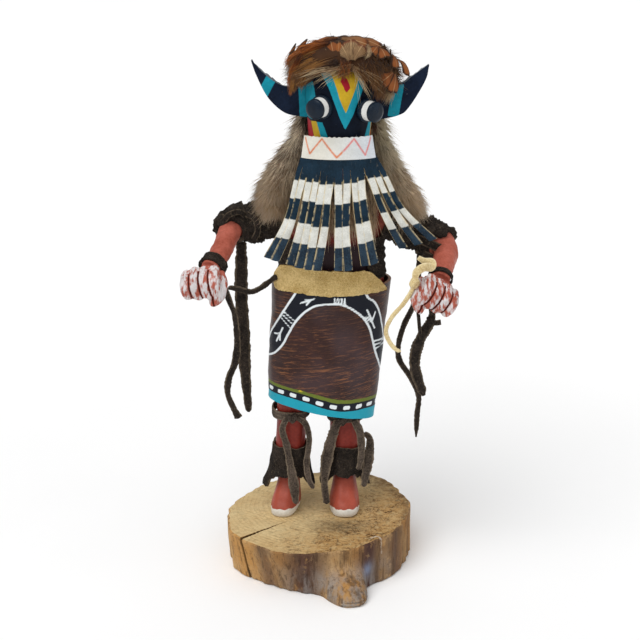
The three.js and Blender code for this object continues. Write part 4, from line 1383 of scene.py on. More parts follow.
@dataclass
class LogSlice:
    """The slice of log: columns fan out from the crack's inner end, so that the crack is an open slit.

    Args:
        radius: its mean radius.
        height: its height.
        middle: its middle.
        crack: the crack's inner end and its end at the rim.
        gap: half the crack's width at the rim.
        stains: dark stains on the side: how dark, at which bearing, how wide.
        columns: how many columns.
    """

    radius: float = 52
    height: float = 28
    middle: tuple[float, float] = (1, 4)
    crack: tuple = ((-15.5, -7.1), (-49, -34.5))
    gap: float = 1.5
    stains: tuple = ((0.95, -1.72, 0.3), (0.6, -2.2, 0.12), (1, -0.95, 0.22), (0.85, -0.5, 0.2),
                     (0.6, -0.1, 0.16))
    columns: int = 340

    def outline(self, z: float) -> tuple[Array, Array]:
        """The outline at a height: radius + bark's slow waves + fork bulge + knot - undercut, by bearing."""
        angle = around(2400)
        knot_wide = np.where(np.sin(angle + 1.24) < 0, 0.25, 0.18)
        knot = 16.5 * bell(swing(angle, -1.24), 0, knot_wide, 3) * bell(z, 0, 12, 3)
        knot *= 1 + 0.03 * np.sin(TURN * z / 2.1 + 3 * angle)
        bulge = 3.4 * bell(swing(angle, 0.94), 0, 0.38)
        undercut = 9 * bell(swing(angle, -2.18), 0, 0.66) * (1 - z / self.height)
        bark = 3.4 * np.cos(2 * (angle - 0.73)) + 0.5 * np.sin(9 * angle)
        ring = np.stack([np.cos(angle), np.sin(angle)], 1)
        spots = np.column_stack([ring * 60, np.full(len(angle), z * 0.12)])
        fibre = 0.45 * waves(spots, 9, 21) + 0.16 * waves(spots, 3, 22)
        size = self.radius + bark + bulge + knot - undercut + fibre
        return self.middle[0] + size * ring[:, 0], self.middle[1] + size * ring[:, 1]

    def reach(self, bearings: Array, z: float) -> Array:
        """How far the outline at a height lies from the crack's inner end, at each bearing from it."""
        x, y = self.outline(z)
        dx, dy = x - self.crack[0][0], y - self.crack[0][1]
        angle, size = np.arctan2(dy, dx), np.hypot(dx, dy)
        order = np.argsort(angle)
        return np.interp(bearings, angle[order], size[order], period=TURN)

    def skin(self) -> Skin:
        """Ends, side and crack walls as grids that share their borders, with the log's painted fields."""
        pole = np.array(self.crack[0])
        way = np.array(self.crack[1]) - pole
        bearing = math.atan2(way[1], way[0])
        open_by = math.asin(self.gap / np.linalg.norm(way))
        bearings = np.linspace(bearing + open_by, bearing + TURN - open_by, self.columns)
        ray = np.stack([np.cos(bearings), np.sin(bearings)], 1)
        bevel = 0.9
        heights = np.concatenate([[0, bevel], np.linspace(bevel, self.height - bevel, 30)[1:], [self.height]])
        inset = np.zeros(len(heights))
        inset[[0, -1]] = bevel
        reach = np.stack([self.reach(bearings, z) for z in heights]) - inset[:, None]
        level = np.broadcast_to(heights[:, None, None], (*reach.shape, 1))
        side = np.concatenate([pole + ray * reach[..., None], level], -1)
        shares = np.linspace(0, 1, 40) ** 0.8
        top, bottom = (self.disc(pole, ray, shares, reach[end], heights[end]) for end in (-1, 0))
        across_saw = top[..., :2] @ np.array([[0.6], [0.9]])
        chatter = 0.12 * waves(across_saw, 2.4, 31) + 0.1 * waves(top[..., :2], 14, 32)
        top[..., 2] += chatter * (1 - shares**8) - 0.12
        side[-1, :, 2] = top[:, -1, 2]
        side = side.transpose(1, 0, 2)
        walls = [self.wall(top[index], bottom[index], side[index]) for index in (0, -1)]
        points, quads, ends, slit, count = [], [], [], [], 0
        for sheet, end, turned, inside in (
            (top, 1, False, 0), (bottom, 1, True, 0), (side, 0, True, 0), (walls[0], 0, True, 1),
            (walls[1], 0, False, 1),
        ):
            faces = lattice(*sheet.shape[:2]) + count
            quads.append(faces[:, ::-1] if turned else faces)
            points.append(sheet.reshape(-1, 3))
            ends.append(np.full(len(faces), float(end)))
            slit.append(np.full(len(points[-1]), float(inside)))
            count += len(points[-1])
        points, quads = np.vstack(points), np.vstack(quads)
        ends, slit = np.concatenate(ends), np.concatenate(slit)
        _, first, back = np.unique(np.round(points, 4), axis=0, return_index=True, return_inverse=True)
        quads = back.reshape(-1)[quads]
        collapsed = (quads == np.roll(quads, -1, axis=1)).any(1)
        thin = quads[collapsed]
        same = thin[:, 0] == thin[:, 1]
        triangles = np.where(same[:, None], thin[:, [1, 2, 3]], thin[:, [0, 1, 2]])
        points = points[first]
        skin = Skin(points, quads[~collapsed], triangles, self.fields(points, slit[first]))
        skin.cut = np.concatenate([ends[~collapsed], ends[collapsed]])
        return skin.outward()

    def disc(self, pole: Array, ray: Array, shares: Array, reach: Array, z: float) -> Array:
        """A sawn end as a grid: shares of the way from the crack's inner end to the rim, along each ray."""
        flat = pole + ray[:, None] * (shares[:, None] * reach[:, None, None])
        return np.concatenate([flat, np.full((*flat.shape[:2], 1), float(z))], -1)

    def wall(self, upper: Array, lower: Array, rim: Array) -> Array:
        """One wall of the crack, between its two long edges and the log's side.

        Args:
            upper: its edge on the upper end.
            lower: its edge on the lower end.
            rim: its edge on the log's side.

        Returns:
            The wall as a grid, ending at the side.
        """
        drop = (rim[:, 2] - rim[0, 2]) / (rim[-1, 2] - rim[0, 2])
        wall = lerp(lower[:, None], upper[:, None], drop[None, :, None])
        wall[-1] = rim
        return wall

    def fields(self, points: Array, slit: Array) -> dict[str, Array]:
        """Where the log is stained, weathered and silvered, and where the painted shadow in front of the
        doll's left foot lies: humps over places and bearings.
        """
        x, y, z = points.T
        bearing = np.arctan2(y - self.middle[1], x - self.middle[0])
        stain = ease(-20, 45, x - 0.6 * y)
        # a hump in front of the doll's left foot, where the top is painted dark as its shadow
        smudge = bell(np.hypot((x - 13) / 15, (y + 15) / 9), 0, 1)
        weather = sum(much * bell(swing(bearing, way), 0, wide) for much, way, wide in self.stains)
        silver = bell(swing(bearing, -1.3), 0, 0.6) * ease(24, 4, z)
        blue = 0.8 * bell(np.hypot(swing(bearing, -0.98) / 0.07, (z - 12) / 3.5), 0, 1)
        scribble = smooth_line([(30, -29), (33.5, -27), (36, -30), (33, -34), (31, -38)], 30)
        chalk = np.where(z > 18, line_distance(points[:, :2], scribble) - 0.45, 9)
        reach = np.hypot(x - self.middle[0], y - self.middle[1])
        rim = ease(self.radius - 8, self.radius + 1, reach)
        rim *= ease(-1.6, -0.2, bearing) * ease(2.6, 1.6, bearing)
        # crack is 1 on the crack's walls, where the finish paints shade
        return {"rim": rim, "stain": stain, "smudge": smudge, "weather": np.clip(weather, 0, 1),
                "silver": silver, "crack": slit, "blue": blue, "chalk": chalk}

    def build(self) -> None:
        """Makes the log."""
        settle(make(self.skin(), "log_slice", LogWood().build(), crease=50), Slot.LOG, "log_base")


@dataclass
class Figure:
    """The carved trunk and legs, and the two arms with their fists.

    Args:
        trunk: rings of height, middle across, half width, middle in depth, half depth.
        hips: where each leg starts across, right then left.
        feet: where each foot stands across.
        turns: how far each foot turns out.
        broad: each shoe's width over the rings'.
        shoe: rings of height, how far the middle lies ahead, half length and half width.
        arms: each arm's middle line with its radius.
        hands: each fist's centre, the way its fingers are lined up, and the way they point.
        cover: how fully each hand is painted white: the lower, the fuller.
        grip: the fists' size along, ahead and up, over the size that they are drawn at.
    """

    trunk: tuple = (
        (104, 3.7, 24.5, 10, 12.5), (110, 4, 27, 10, 15.2), (166, 7.9, 28.9, 10, 16.2),
        (178, 8.3, 27, 10, 15.4),
        (190, 8.8, 26.2, 10, 15), (206, 9.8, 28.5, 10, 15), (218, 10.6, 26, 10, 13.6), (226, 11, 18, 9, 11.5),
        (232, 11.5, 10.5, 6.6, 9.5), (243, 12, 9.5, 4.5, 9))
    hips: tuple[float, float] = (-13.5, 16)
    feet: tuple[float, float] = (-17, 15.8)
    turns: tuple[float, float] = (-0.22, 0.02)
    broad: tuple[float, float] = (1.04, 1.16)
    shoe: tuple = (
        (28, 5.2, 14.6, 7.1), (32, 5.3, 14.8, 7.3), (35.5, 4.4, 13.6, 7), (40, 2.2, 10.4, 6.4),
        (44, 0.6, 7.6, 6.2),
        (49, 0, 6.9, 6.3), (58, 0, 7.8, 7.6), (68, 0, 8.6, 8.4), (80, 0, 8.4, 8.3), (92, 0, 8.9, 8.7),
        (114, 0, 9.6, 9.4))
    arms: tuple = (
        ((-13, 10, 206, 8.6), (-24, 10, 203.5, 8.4), (-36, 10, 201, 8), (-44.6, 7.5, 201.2, 7.2),
         (-47.6, -1, 198, 6.0), (-49.8, -10, 194.4, 5.8), (-53, -19.5, 190, 5.5), (-56.4, -27, 186.6, 5.4)),
        ((32, 10, 206, 8.6), (43, 10, 202, 8.4), (55, 10, 195.5, 8), (66.5, 8, 191, 7.6), (70, 0, 187.4, 6.8),
         (68.8, -9, 185, 6.3), (67, -18, 182.4, 5.6), (65.6, -24.5, 179.6, 5.4)))
    hands: tuple = (
        ((-60.6, -33, 182.2), (-0.98, 0.1, -0.16), (-0.25, -0.93, -0.3)),
        ((64, -31.5, 174.6), (0.83, 0.1, -0.5), (-0.1, -0.95, -0.3)))
    cover: tuple[float, float] = (-0.2, -0.08)
    grip: Place = (0.87, 0.87, 0.82)

    def ring(self, middle: Array, halves: tuple, sides: int, power: float = 2, turn: float = 0) -> Array:
        """A level oval |x/a|^p + |y/b|^p = 1 round a middle, swung about Z.

        Args:
            middle: its middle.
            halves: its half width and half depth.
            sides: how many points.
            power: 2 is round, and more is squarer.
            turn: the swing in radians.

        Returns:
            The points.
        """
        x, y = (half * part for half, part in zip(halves, superoval(around(sides), power)))
        return np.asarray(middle) + np.stack(
            [x * math.cos(turn) - y * math.sin(turn), x * math.sin(turn) + y * math.cos(turn), 0 * x], -1)

    def torso(self) -> Skin:
        """The trunk: its rings, run through by a smooth curve."""
        rings = spline(self.trunk, np.linspace(0, 1, 90))
        return loft(np.array([self.ring((x, y, z), (a, b), 72) for z, x, a, y, b in rings]))

    def leg(self, side: int) -> Skin:
        """A leg: shoe rings turned with the foot, blended into the shin's, middles leaning to the hip."""
        turn = self.turns[side]
        rows = spline(self.shoe, np.linspace(0, 1, 110))
        rings = []
        for z, ahead, half_long, half_wide in rows:
            up = (z - 28) / 80
            x = lerp(self.feet[side], self.hips[side], up) + ahead * math.sin(turn)
            y = lerp(15.2, 10, up) - ahead * math.cos(turn)
            low = float(ease(50, 36, z))
            half_wide *= lerp(1, self.broad[side], low)
            swung = turn * float(ease(58, 40, z))
            rings.append(self.ring((x, y, z), (half_wide, half_long), 56, 2.2 + 0.5 * low, swung))
        return loft(np.array(rings))

    def body(self) -> None:
        """The trunk and legs as one carved block, with knife facets, painted shoes, and a band of painted
        shadow under the beard and fur.
        """
        blank = carved(merged(self.torso(), self.leg(0), self.leg(1)), 0.95, 2)
        points = blank.points
        flat = ease(28.2, 30, points[:, 2])
        points += blank.normals() * (0.22 * waves(points * (1, 1, 0.4), 9, 41) * flat)[:, None]
        points[:, 2] = np.maximum(points[:, 2], 28.0)
        x, y, z = points.T
        top = 31.3 + 1.9 * ease(4, 16, 12 - y) + 0.35 * waves(points[:, :2], 7, 43)
        blank.fields = {
            "sole": z - top,
            "shoe": np.maximum(z - 47, -3),
            # a band round the trunk under the beard, painted dark as shadow
            "chest": np.maximum(np.abs(z - 184) - 9, np.abs(x - 6) - 30),
        }
        finish = Paint(
            "body_paint", "#8c3327", "#6a221b", (
                Coat("shoe", "#a84e3c", soft=1.2, rough=0.45), Coat("sole", "#e9e4da", shake=0.9, rough=0.6),
                # the chest coat is painted shadow under the beard and fur
                Coat("chest", "#2c1a1f", shake=5, grain=7, soft=2.5)),
            rough=0.42, brush=0.8, chips=0.1, under="#b5714f", gloss=0.2)
        settle(make(blank, "carved_body", finish.build()), Slot.WOOD, "doll_body")

    def fist(self, side: int) -> Skin:
        """A closed fist in place: palm, four curled fingers and a thumb, each a tapering bar."""

        def bar(stations: Sequence) -> Skin:
            """One bar through places with a radius each."""
            rows = smooth_line(stations, 26)
            return ribbon(rows[:, :3], rows[:, 3], rows[:, 3], (1.0, 0.1, 0.05), 16, 2.3)

        fingers = []
        for k in range(4):
            x, size, drop = (k - 1.5) * 6.0, 3.45 if k < 3 else 3.05, 1.2 if k == 3 else 0.0
            fingers.append(bar([
                (x * 0.96, -3, 6.2 - drop, size), (x, 5.6, 6.0 - drop, size), (x, 9.0, 2.2, size),
                (x, 8.2, -3.2, size),
                (x, 5.0, -7.4 + drop, size * 0.92), (x, 1.0, -8.2 + drop, size * 0.8)]))
        x, z, _ = self.ring((0, 0, 0), (10.4, 8.0), 40, 3).T
        palm = loft(np.array([
            np.stack([x, 0 * x + y, z * tall - 0.5], -1)
            for y, tall in ((-9, 0.6), (-6, 0.8), (0, 1), (5, 0.95), (7.0, 0.8))]))
        thumb = bar([(-10.5, -6, 0, 3.2), (-12, 1.4, -3.6, 3.4), (-10.4, 6.4, -8.4, 3.1),
                     (-6.6, 8.6, -11.4, 2.7), (-3.6, 8.8, -12.2, 2.2)])
        centre, across, forward = self.held(side)
        up = np.cross(across, forward)
        up = -up if up[2] < 0 else up
        skin = merged(palm, *fingers, thumb)
        skin.points = centre + (skin.points * self.grip) @ np.stack([across, forward, up])
        return skin.outward()

    def held(self, side: int) -> tuple[Array, Array, Array]:
        """A fist's centre, the way its fingers are lined up, and the way they point, square to it."""
        centre, row, ahead = (np.array(v, float) for v in self.hands[side])
        across = unit(row)
        return centre, across, unit(ahead - across * (ahead @ across))

    def arm(self, side: int, name: str, node: str, finish: Material) -> None:
        """An arm with its fist as one carved block; the grooves between the fingers carry painted shade.

        Args:
            side: 0 for the right arm, 1 for the left.
            name: the piece's name.
            node: the CAD node that it replaces.
            finish: its paint.
        """
        rows = smooth_line(self.arms[side], 90)
        limb = ribbon(rows[:, :3], rows[:, 3], rows[:, 3], (0, 0, 1), 48, 2)
        block = carved(merged(self.fist(side), limb), 0.62, 2)
        points = block.points
        centre = np.array(self.hands[side][0])
        wrist = np.array(self.arms[side][-1][:3])
        points += block.normals() * (0.16 * waves(points, 5, 51 + side))[:, None]
        away = np.linalg.norm(points - centre, axis=1)
        along = (points - wrist) @ unit(centre - wrist)
        groove_shade = self.grooves(points, side)
        start = np.maximum(1.6 - along * 0.8, away - 19)
        block.fields = {
            "brushed": np.maximum(start, self.cover[side]) + 1.3 * (1 - groove_shade),
            # painted shade: a dark coat in the grooves between the fingers
            "groove_shade": groove_shade * 2.0 - 0.75,
        }
        settle(make(block, name, finish, crease=60), Slot.WOOD, node)

    def grooves(self, points: Array, side: int) -> Array:
        """0 in the grooves between fingers and 1 on their backs, by the distance to a groove's plane."""
        centre, across, forward = self.held(side)
        local = (points - centre) @ np.stack([across, forward], 1)
        near = np.minimum.reduce([np.abs(local[:, 0] - k * 6.0 * self.grip[0]) for k in (-1, 0, 1)])
        return np.where(local[:, 1] > 1.5, ease(0.1, 1.1, near), 1.0)

    def build(self) -> None:
        """Makes the body and both arms."""
        self.body()
        finish = Paint(
            "hand_paint", "#b56454", "#964c3c", (
                Coat("brushed", "#dcd6d6", shake=7, grain=2.6, soft=0.4, rough=0.65, stretch=(1.4, 0.5, 0.4)),
                # painted shade in the grooves between the fingers
                Coat("groove_shade", "#45150f", shake=0.5, grain=2, soft=0.35, rough=0.6)),
            rough=0.45, brush=0.9, chips=0.12, under="#c98a70").build()
        self.arm(0, "carved_right_arm", "right_arm", finish)
        self.arm(1, "carved_left_arm", "left_arm", finish)


@dataclass
class Kilt:
    """The painted leather kilt, and the suede belt across its front.

    Args:
        top: the waist's height.
        thick: the leather's thickness.
        waist: middle across, half width and half depth at the waist.
        hem: the same at the hem.
        deep: the middle in depth.
        hem_height: the hem's height at its middle, and its slopes across and in depth.
        inner: the arch's inner line: place round the front in millimetres, share of the way down.
        outer_right: the arch's outer line on the doll's right, and outer_left on its left.
        bars: short bars across the arch, from end to end, in the same terms.
        tracks: bird tracks in the arch: each a shaft and two toes.
        belt: places along the belt: angle over pi, lower height, upper height.
    """

    top: float = 169
    thick: float = 1.6
    waist: Place = (8.1, 31.4, 18.6)
    hem: Place = (2.1, 28.5, 17.3)
    deep: float = 10
    hem_height: Place = (92.6, -0.213, -0.11)
    bars: tuple = (
        ((-27, 0.205), (-19.2, 0.268)), ((-27.8, 0.23), (-20.2, 0.298)), ((-28.8, 0.254), (-21.2, 0.335)),
        ((1.8, 0.065), (2.6, 0.115)), ((3.6, 0.065), (4.3, 0.115)), ((5.4, 0.065), (6, 0.118)),
        ((7.1, 0.07), (7.7, 0.122)), ((25.6, 0.41), (38.4, 0.4)), ((26.6, 0.438), (38.6, 0.422)),
        ((27.6, 0.466), (38.6, 0.446)))
    tracks: tuple = (
        ((-25.4, 0.355), (-29.3, 0.485)), ((-27, 0.41), (-31.2, 0.427)), ((-27, 0.41), (-26.8, 0.465)),
        ((-15.9, 0.122), (-8.5, 0.075)), ((-10.4, 0.088), (-13.6, 0.092)), ((-10.8, 0.092), (-12.7, 0.133)),
        ((19.6, 0.165), (25.6, 0.31)), ((23.6, 0.262), (19.4, 0.218)), ((23.2, 0.252), (24.9, 0.19)))
    inner: tuple = (
        (-39, 0.65), (-34.4, 0.62), (-29.8, 0.578), (-25, 0.495), (-21.8, 0.398), (-19, 0.305),
        (-15.2, 0.223),
        (-11.7, 0.17), (-6.9, 0.128), (1.3, 0.113), (6.8, 0.122), (11.8, 0.155), (17.4, 0.215), (21.6, 0.288),
        (24.6, 0.367), (26.4, 0.438), (29.2, 0.512), (34, 0.603), (39, 0.66))
    outer_right: tuple = ((-39, 0.53), (-36, 0.46), (-27, 0.25), (-20, 0.075), (-16, -0.05))
    outer_left: tuple = (
        (15, -0.05), (19.4, 0.07), (23.4, 0.11), (27.2, 0.18), (29.8, 0.26), (33, 0.345), (36.4, 0.43))
    belt_line: tuple = (
        (1.098, 169.4, 170.6), (1.104, 166.4, 173.6), (1.133, 165.4, 176.8), (1.18, 165.6, 180.2),
        (1.25, 165.9, 180.8),
        (1.33, 165.9, 180.7), (1.43, 165.2, 180), (1.54, 165.1, 179.3), (1.62, 165.3, 179),
        (1.69, 165.3, 178.7),
        (1.735, 165.3, 176.4), (1.781, 165.3, 173), (1.82, 165.3, 169.6), (1.862, 165.2, 165.9))

    def spot(self, angle: Array, down: Array, out: Number = 0) -> Array:
        """A point of the outer face, by the angle round the waist and the share of the way down.

        Args:
            angle: the angle round the waist.
            down: 0 at the waist to 1 at the hem.
            out: how far it stands off.

        Returns:
            The places.
        """

        def level(share: Number) -> tuple[Array, Array]:
            """Across and depth on the oval at a share of the way down."""
            middle, wide, deep = (lerp(*ends, share) for ends in zip(self.waist, self.hem))
            return middle + (wide + out) * np.cos(angle), self.deep + (deep + out) * np.sin(angle)

        x, y = level(down)
        hx, hy = level(1.0)
        height, across, depth = self.hem_height
        low = height + across * (hx - self.hem[0]) + depth * (hy - self.deep)
        return np.stack([x, y, lerp(self.top, low, down)], -1)

    def girth(self, angle: Array) -> Array:
        """Millimetres round the waist from the front's middle, signed; the back mirrors the front."""
        steps = np.linspace(0, math.pi, 400)
        mean_wide, mean_deep = 30.6, 18.3
        pace = np.hypot(mean_wide * np.cos(steps), mean_deep * np.sin(steps))
        run = np.concatenate([[0], np.cumsum((pace[1:] + pace[:-1]) / 2 * np.diff(steps))])
        away = swing(angle, 1.5 * math.pi)
        round_front = np.interp(np.abs(away), steps, run)
        folded = np.minimum(round_front, run[-1] - round_front)
        return np.sign(away) * folded

    def fields(self, angle: Array, down: Array) -> dict[str, Array]:
        """The painted shapes, each as a signed distance in millimetres on the unrolled leather."""
        tall = 77.0
        place = np.stack([self.girth(angle), down * tall], -1)
        x, y = place[..., 0], place[..., 1]
        scale = np.array([1, tall])
        inner, right, left = (
            smooth_line(np.array(line) * scale, count)
            for line, count in ((self.inner, 50), (self.outer_right, 24), (self.outer_left, 24)))
        arch = area_distance(place, np.vstack([inner, left[::-1], right[::-1]]))
        bars, tracks = (
            nearest(*(line_distance(place, np.array(stroke) * scale) for stroke in strokes))
            for strokes in (self.bars, self.tracks))
        lines = nearest(*(line_distance(place, line) for line in (inner, right, left))) - 0.62
        marks = np.maximum(nearest(bars - 0.46, tracks - 0.52), arch)
        wander = 0.01 * waves(place, 60, 61)
        olive_top, olive_low, navy_top, dash_row, hem = (
            (share + wander) * tall for share in (0.842, 0.868, 0.866, 0.899, 0.928))
        pitch, corner = 7.8, 0.8
        dash_x = np.abs((x + 1.2 + pitch / 2) % pitch - pitch / 2) - 2.0
        dash_y = np.abs(y - dash_row) - 1.05
        beyond = np.hypot(np.maximum(dash_x + corner, 0), np.maximum(dash_y + corner, 0))
        dashes = np.maximum(dash_x, dash_y) + np.minimum(beyond - corner, 0)
        return {
            "navy": nearest(arch, np.maximum(navy_top - y, y - hem - 0.6)),
            "white": nearest(np.maximum(nearest(lines, marks), 0.02 * tall - y), dashes),
            "olive": np.maximum(olive_top - y, y - olive_low),
            "yellow": np.hypot((x + 12.7) / 2.2, y - 0.842 * tall) - 0.7,
            "teal": hem - y,
        }

    def build(self) -> None:
        """The leather, gently uneven, with its hem's cut edge, and the belt."""
        angle, down = grid(around(250), 72)
        place = self.spot(angle, down)
        dent = 0.35 * waves(place, 38, 62) + 0.08 * waves(place, 9, 63)
        place = self.spot(angle, down, dent * ease(0, 0.25, down))
        skin = slab(place, self.thick, wrap=True, fields=self.fields(angle, down))
        piece = settle(make(skin, "kilt_leather", KiltLeather().build()), Slot.KILT, "kilt")
        cut_sheet(piece, 156, 77, "hung", "doll_body")
        self.belt()

    def belt(self) -> None:
        """The belt: round at its right end, drawn to a point at its left, with rough cut edges."""
        u, v = grid(260, 22)
        rows = spline(self.belt_line, u[:, 0])
        angle = rows[:, :1] * math.pi + 0 * v
        spots = np.stack([angle * 30, v * 15], -1)
        place = self.spot(angle, 0 * v, 2.0 + 0.2 * waves(spots, 12, 72))
        rough = 0.22 * waves(spots[:, :1] + (0, 40), 5, 73) + 0.1 * waves(spots[:, :1], 1.6, 71)
        place[..., 2] = lerp(rows[:, 1:2], rows[:, 2:], v) + rough
        finish = Suede("belt_suede", "#a88748", "#dfc387", "#80602f", specks=0.5, rise=0.25, bias=0.1)
        piece = settle(make(slab(place, 1.3), "belt_suede", finish.build()), Slot.BELT, "belt")
        cut_sheet(piece, 70, 14.5, "laid", "kilt_leather")


@dataclass
class Mask:
    """The case mask with its painted face, stick eyes, flat horns, mouth band and split beard.

    Args:
        middle: the head's middle.
        turn: how far it is turned to its left.
        rings: height, half width and half depth.
        caps: each eye's front, and its bearing.
        paint: the painted shapes of each colour, on the head before it is turned: across, height.
        band: the mouth band's lower and upper heights.
        tips: the ends of the beard's strips, from right to left.
    """

    middle: tuple[float, float] = (12, 3)
    turn: float = 0.19
    rings: tuple = ((243.4, 15.2, 16.2), (252, 16.2, 17.2), (263, 16.9, 18), (276, 17.6, 18.4),
                    (284, 16.6, 17.2), (290, 13, 13.6), (293, 6.5, 7))
    caps: tuple = (((-1.7, -20.4, 271.3), -0.58), ((31.4, -17.4, 269), 0.72))
    paint: dict = field(default_factory=lambda: {
        "teal": (
            ((-0.6, 259.1), (-3.6, 265.9), (-6.4, 273.7), (-9.1, 281.6), (-12.5, 289), (-12.5, 294),
             (12, 294), (12.5, 289), (7.4, 276), (5.5, 271.9), (3.7, 267)),
            ((-19, 279.5), (-16, 284.5), (-15, 275.8), (-14.6, 268), (-16, 263), (-19, 263)),
            ((-14.5, 262.7), (-11.9, 262.7), (-7.6, 250), (-11.5, 250)),
            ((13, 262), (10.2, 253), (9.4, 250), (13.6, 250), (14.8, 258), (15.2, 262))),
        "yellow": (
            ((-0.3, 268.1), (-3.3, 274.7), (-5.1, 281.3), (-7.6, 289), (-7.6, 294), (8, 294), (7.6, 289),
             (6.5, 285), (4.1, 278.8), (2.2, 274.5)),
            ((-16.5, 262), (-14.5, 262.7), (-11.5, 250), (-14.6, 250)),
            ((15.2, 262), (14.8, 258), (13.6, 250), (14.4, 250), (15.5, 258), (16, 262))),
        "red": (
            ((-0.05, 278.6), (-2.9, 284.8), (-1.8, 287.6), (0.6, 286), (2.1, 281.6)),
            ((-20, 262), (-16.5, 262), (-14.6, 250), (-20, 250)),
            ((16, 262), (15.5, 258), (14.4, 250), (20, 250), (20, 262)))})
    band: tuple[float, float] = (244.2, 255.6)
    tips: tuple = (
        (-25.2, -15, 189), (-21.5, -16, 187.8), (-13.6, -19.5, 186.6), (-9, -21, 185.4), (-4.4, -22.5, 184.9),
        (0.6, -23.5, 184.8), (11.5, -24, 184.9), (16.2, -24, 184.9), (25.6, -22.5, 187.2),
        (30.4, -21.5, 187.8), (45.6, -17, 195.4), (53.8, -13.5, 196.2), (61, -10.5, 197.8))

    def head(self) -> None:
        """The head: squarish ovals |x/a|^2.35 + |y/b|^2.35 = 1, with the face's painted shapes."""
        rows = smooth_line(self.rings, 110)
        x, y = (rows[:, k: k + 1] * part for k, part in enumerate(superoval(around(150), 2.35), 1))
        place = np.stack([x, y, np.broadcast_to(rows[:, :1], x.shape)], -1)
        place += 0.12 * waves(place, 6, 81)[..., None] * unit(place * (1, 1, 0))
        c, s = math.cos(self.turn), math.sin(self.turn)
        turned = place @ np.array([(c, s, 0), (-s, c, 0), (0, 0, 1)]) + (*self.middle, 0)
        finish = Paint(
            "mask_paint", "#0c1524", "#080d18", (
                Coat("teal", "#1c93a8"), Coat("yellow", "#c9a52a"), Coat("red", "#a31f2c")),
            rough=0.5, brush=0.5, scale=9, chips=0.12, under="#6d6a68")
        settle(make(loft(turned, self.face(place)), "mask_head", finish.build()), Slot.MASK, "head")

    def face(self, place: Array) -> dict[str, Array]:
        """The painted shapes as signed distances, on the head seen straight from its front."""
        flat = place[..., [0, 2]]
        back = np.where(place[..., 1] > 4, 30.0, 0.0)
        return {name: nearest(*(area_distance(flat, shape) for shape in shapes)) + back
                for name, shapes in self.paint.items()}

    def eyes(self) -> None:
        """Each eye turned on a lathe: a dark foot, a white ring and a domed navy cap."""
        finish = Paint(
            "eye_paint", "#11202f", "#0b1622", (Coat("white", "#e8e8e4", shake=0.3, soft=0.08, rough=0.5),),
            rough=0.28, brush=0.3, scale=6, gloss=0.2)
        material = finish.build()
        profile = smooth_corners(((0, 0), (6.2, 0), (6.3, 2.2), (5.3, 2.5), (5.25, 6.5), (5.5, 6.7),
                                  (5.3, 8.3), (3.6, 9.1), (0.02, 9.4)), 0.35)
        for ((x, y, z), bearing), name in zip(self.caps, ("right_eye", "left_eye")):
            way = np.array((math.sin(bearing), -math.cos(bearing), 0))
            side = np.array((math.cos(bearing), math.sin(bearing), 0))
            foot = np.array((x, y, z)) - way * 9
            angle = around(64)
            spoke = side * np.cos(angle)[:, None] + np.array((0, 0, 1)) * np.sin(angle)[:, None]
            rings = foot + profile[1:, 1, None, None] * way + profile[1:, 0, None, None] * spoke
            height = np.broadcast_to(profile[1:, 1:2], rings.shape[:2])
            radius = np.broadcast_to(profile[1:, :1], rings.shape[:2])
            skin = loft(rings, {"white": np.maximum(np.abs(height - 4.6) - 2.0, 4.4 - radius)})
            settle(make(skin, name + "_carved", material), Slot.EYE, name)

    def horns(self) -> None:
        """Each horn a board between its two edges, with a slanting teal band."""
        shapes = {
            "right_horn": (
                [(-34.6, 291.6), (-31.8, 283.6), (-25.8, 271.8), (-16.8, 263.6), (-5.6, 261.4), (0, 261)],
                [(-34.0, 291.9), (-28.6, 285.5), (-21.5, 280), (-14.6, 277.6), (-5.6, 278.6), (0, 279)],
                [[(-26.0, 284.6), (-30.8, 276.0), (-26.6, 271.5), (-21.6, 281.0)],
                 [(-9.8, 280), (-9.0, 260), (2, 260), (2, 280)]]),
            "left_horn": (
                [(59.2, 289), (57.3, 281), (49.6, 267.6), (43.8, 262.4), (30.4, 259.6), (24, 259.4)],
                [(58.6, 289.6), (54.6, 286.6), (50.2, 283.3), (44.6, 279.4), (31, 279.0), (24, 278.4)],
                [[(37.6, 262), (43.4, 261), (46.2, 279), (40.6, 280)]]),
        }
        material = Paint(
            "horn_paint", "#172236", "#101828", (Coat("teal", "#1c93a8", shake=0.5),),
            rough=0.5, brush=0.6, scale=9, chips=0.25, under="#7e8690", edge="#6e747a").build()
        for name, (outer, inner, bands) in shapes.items():
            u, v = grid(70, 26)
            flat = lerp(spline(outer, u), spline(inner, u), v[..., None])
            place = np.stack([flat[..., 0], 4.5 + 0.1 * waves(flat, 5, 85), flat[..., 1]], -1)
            fields = {"teal": nearest(*(area_distance(flat, band) for band in bands))}
            across = np.cross(*(np.gradient(place, axis=k)[30, 12] for k in (0, 1)))
            skin = slab(place, 3.6 if across[1] < 0 else -3.6, fields=fields)
            piece = make(skin, name + "_board", material, crease=30)
            bevel = piece.modifiers.new("Worn edges", "BEVEL")
            bevel.width, bevel.segments, bevel.limit_method = 0.5 * MM, 2, "ANGLE"
            settle(piece, Slot.HORN, name)

    def mouth(self, across: Array, z: Array, out: Number = 0) -> Array:
        """A place on the arc before the mouth: across from -1 to 1, at a height, standing off by out.

        Args:
            across: -1 at the right end to 1 at the left.
            z: the height.
            out: how far it stands off.

        Returns:
            The places.
        """
        low, high = self.band
        down = (high - z) / (high - low)
        half = lerp(17.9, 19.6, down) + 0.4 * out
        spread, deep = 1.1, 9.4
        x = lerp(11.3, 11.4, down) + half * np.sin(spread * across) / math.sin(spread)
        y = lerp(-16.6, -19.2, down) - out + deep * (1 - np.cos(spread * across))
        return np.stack([x, y, z + 0 * across], -1)

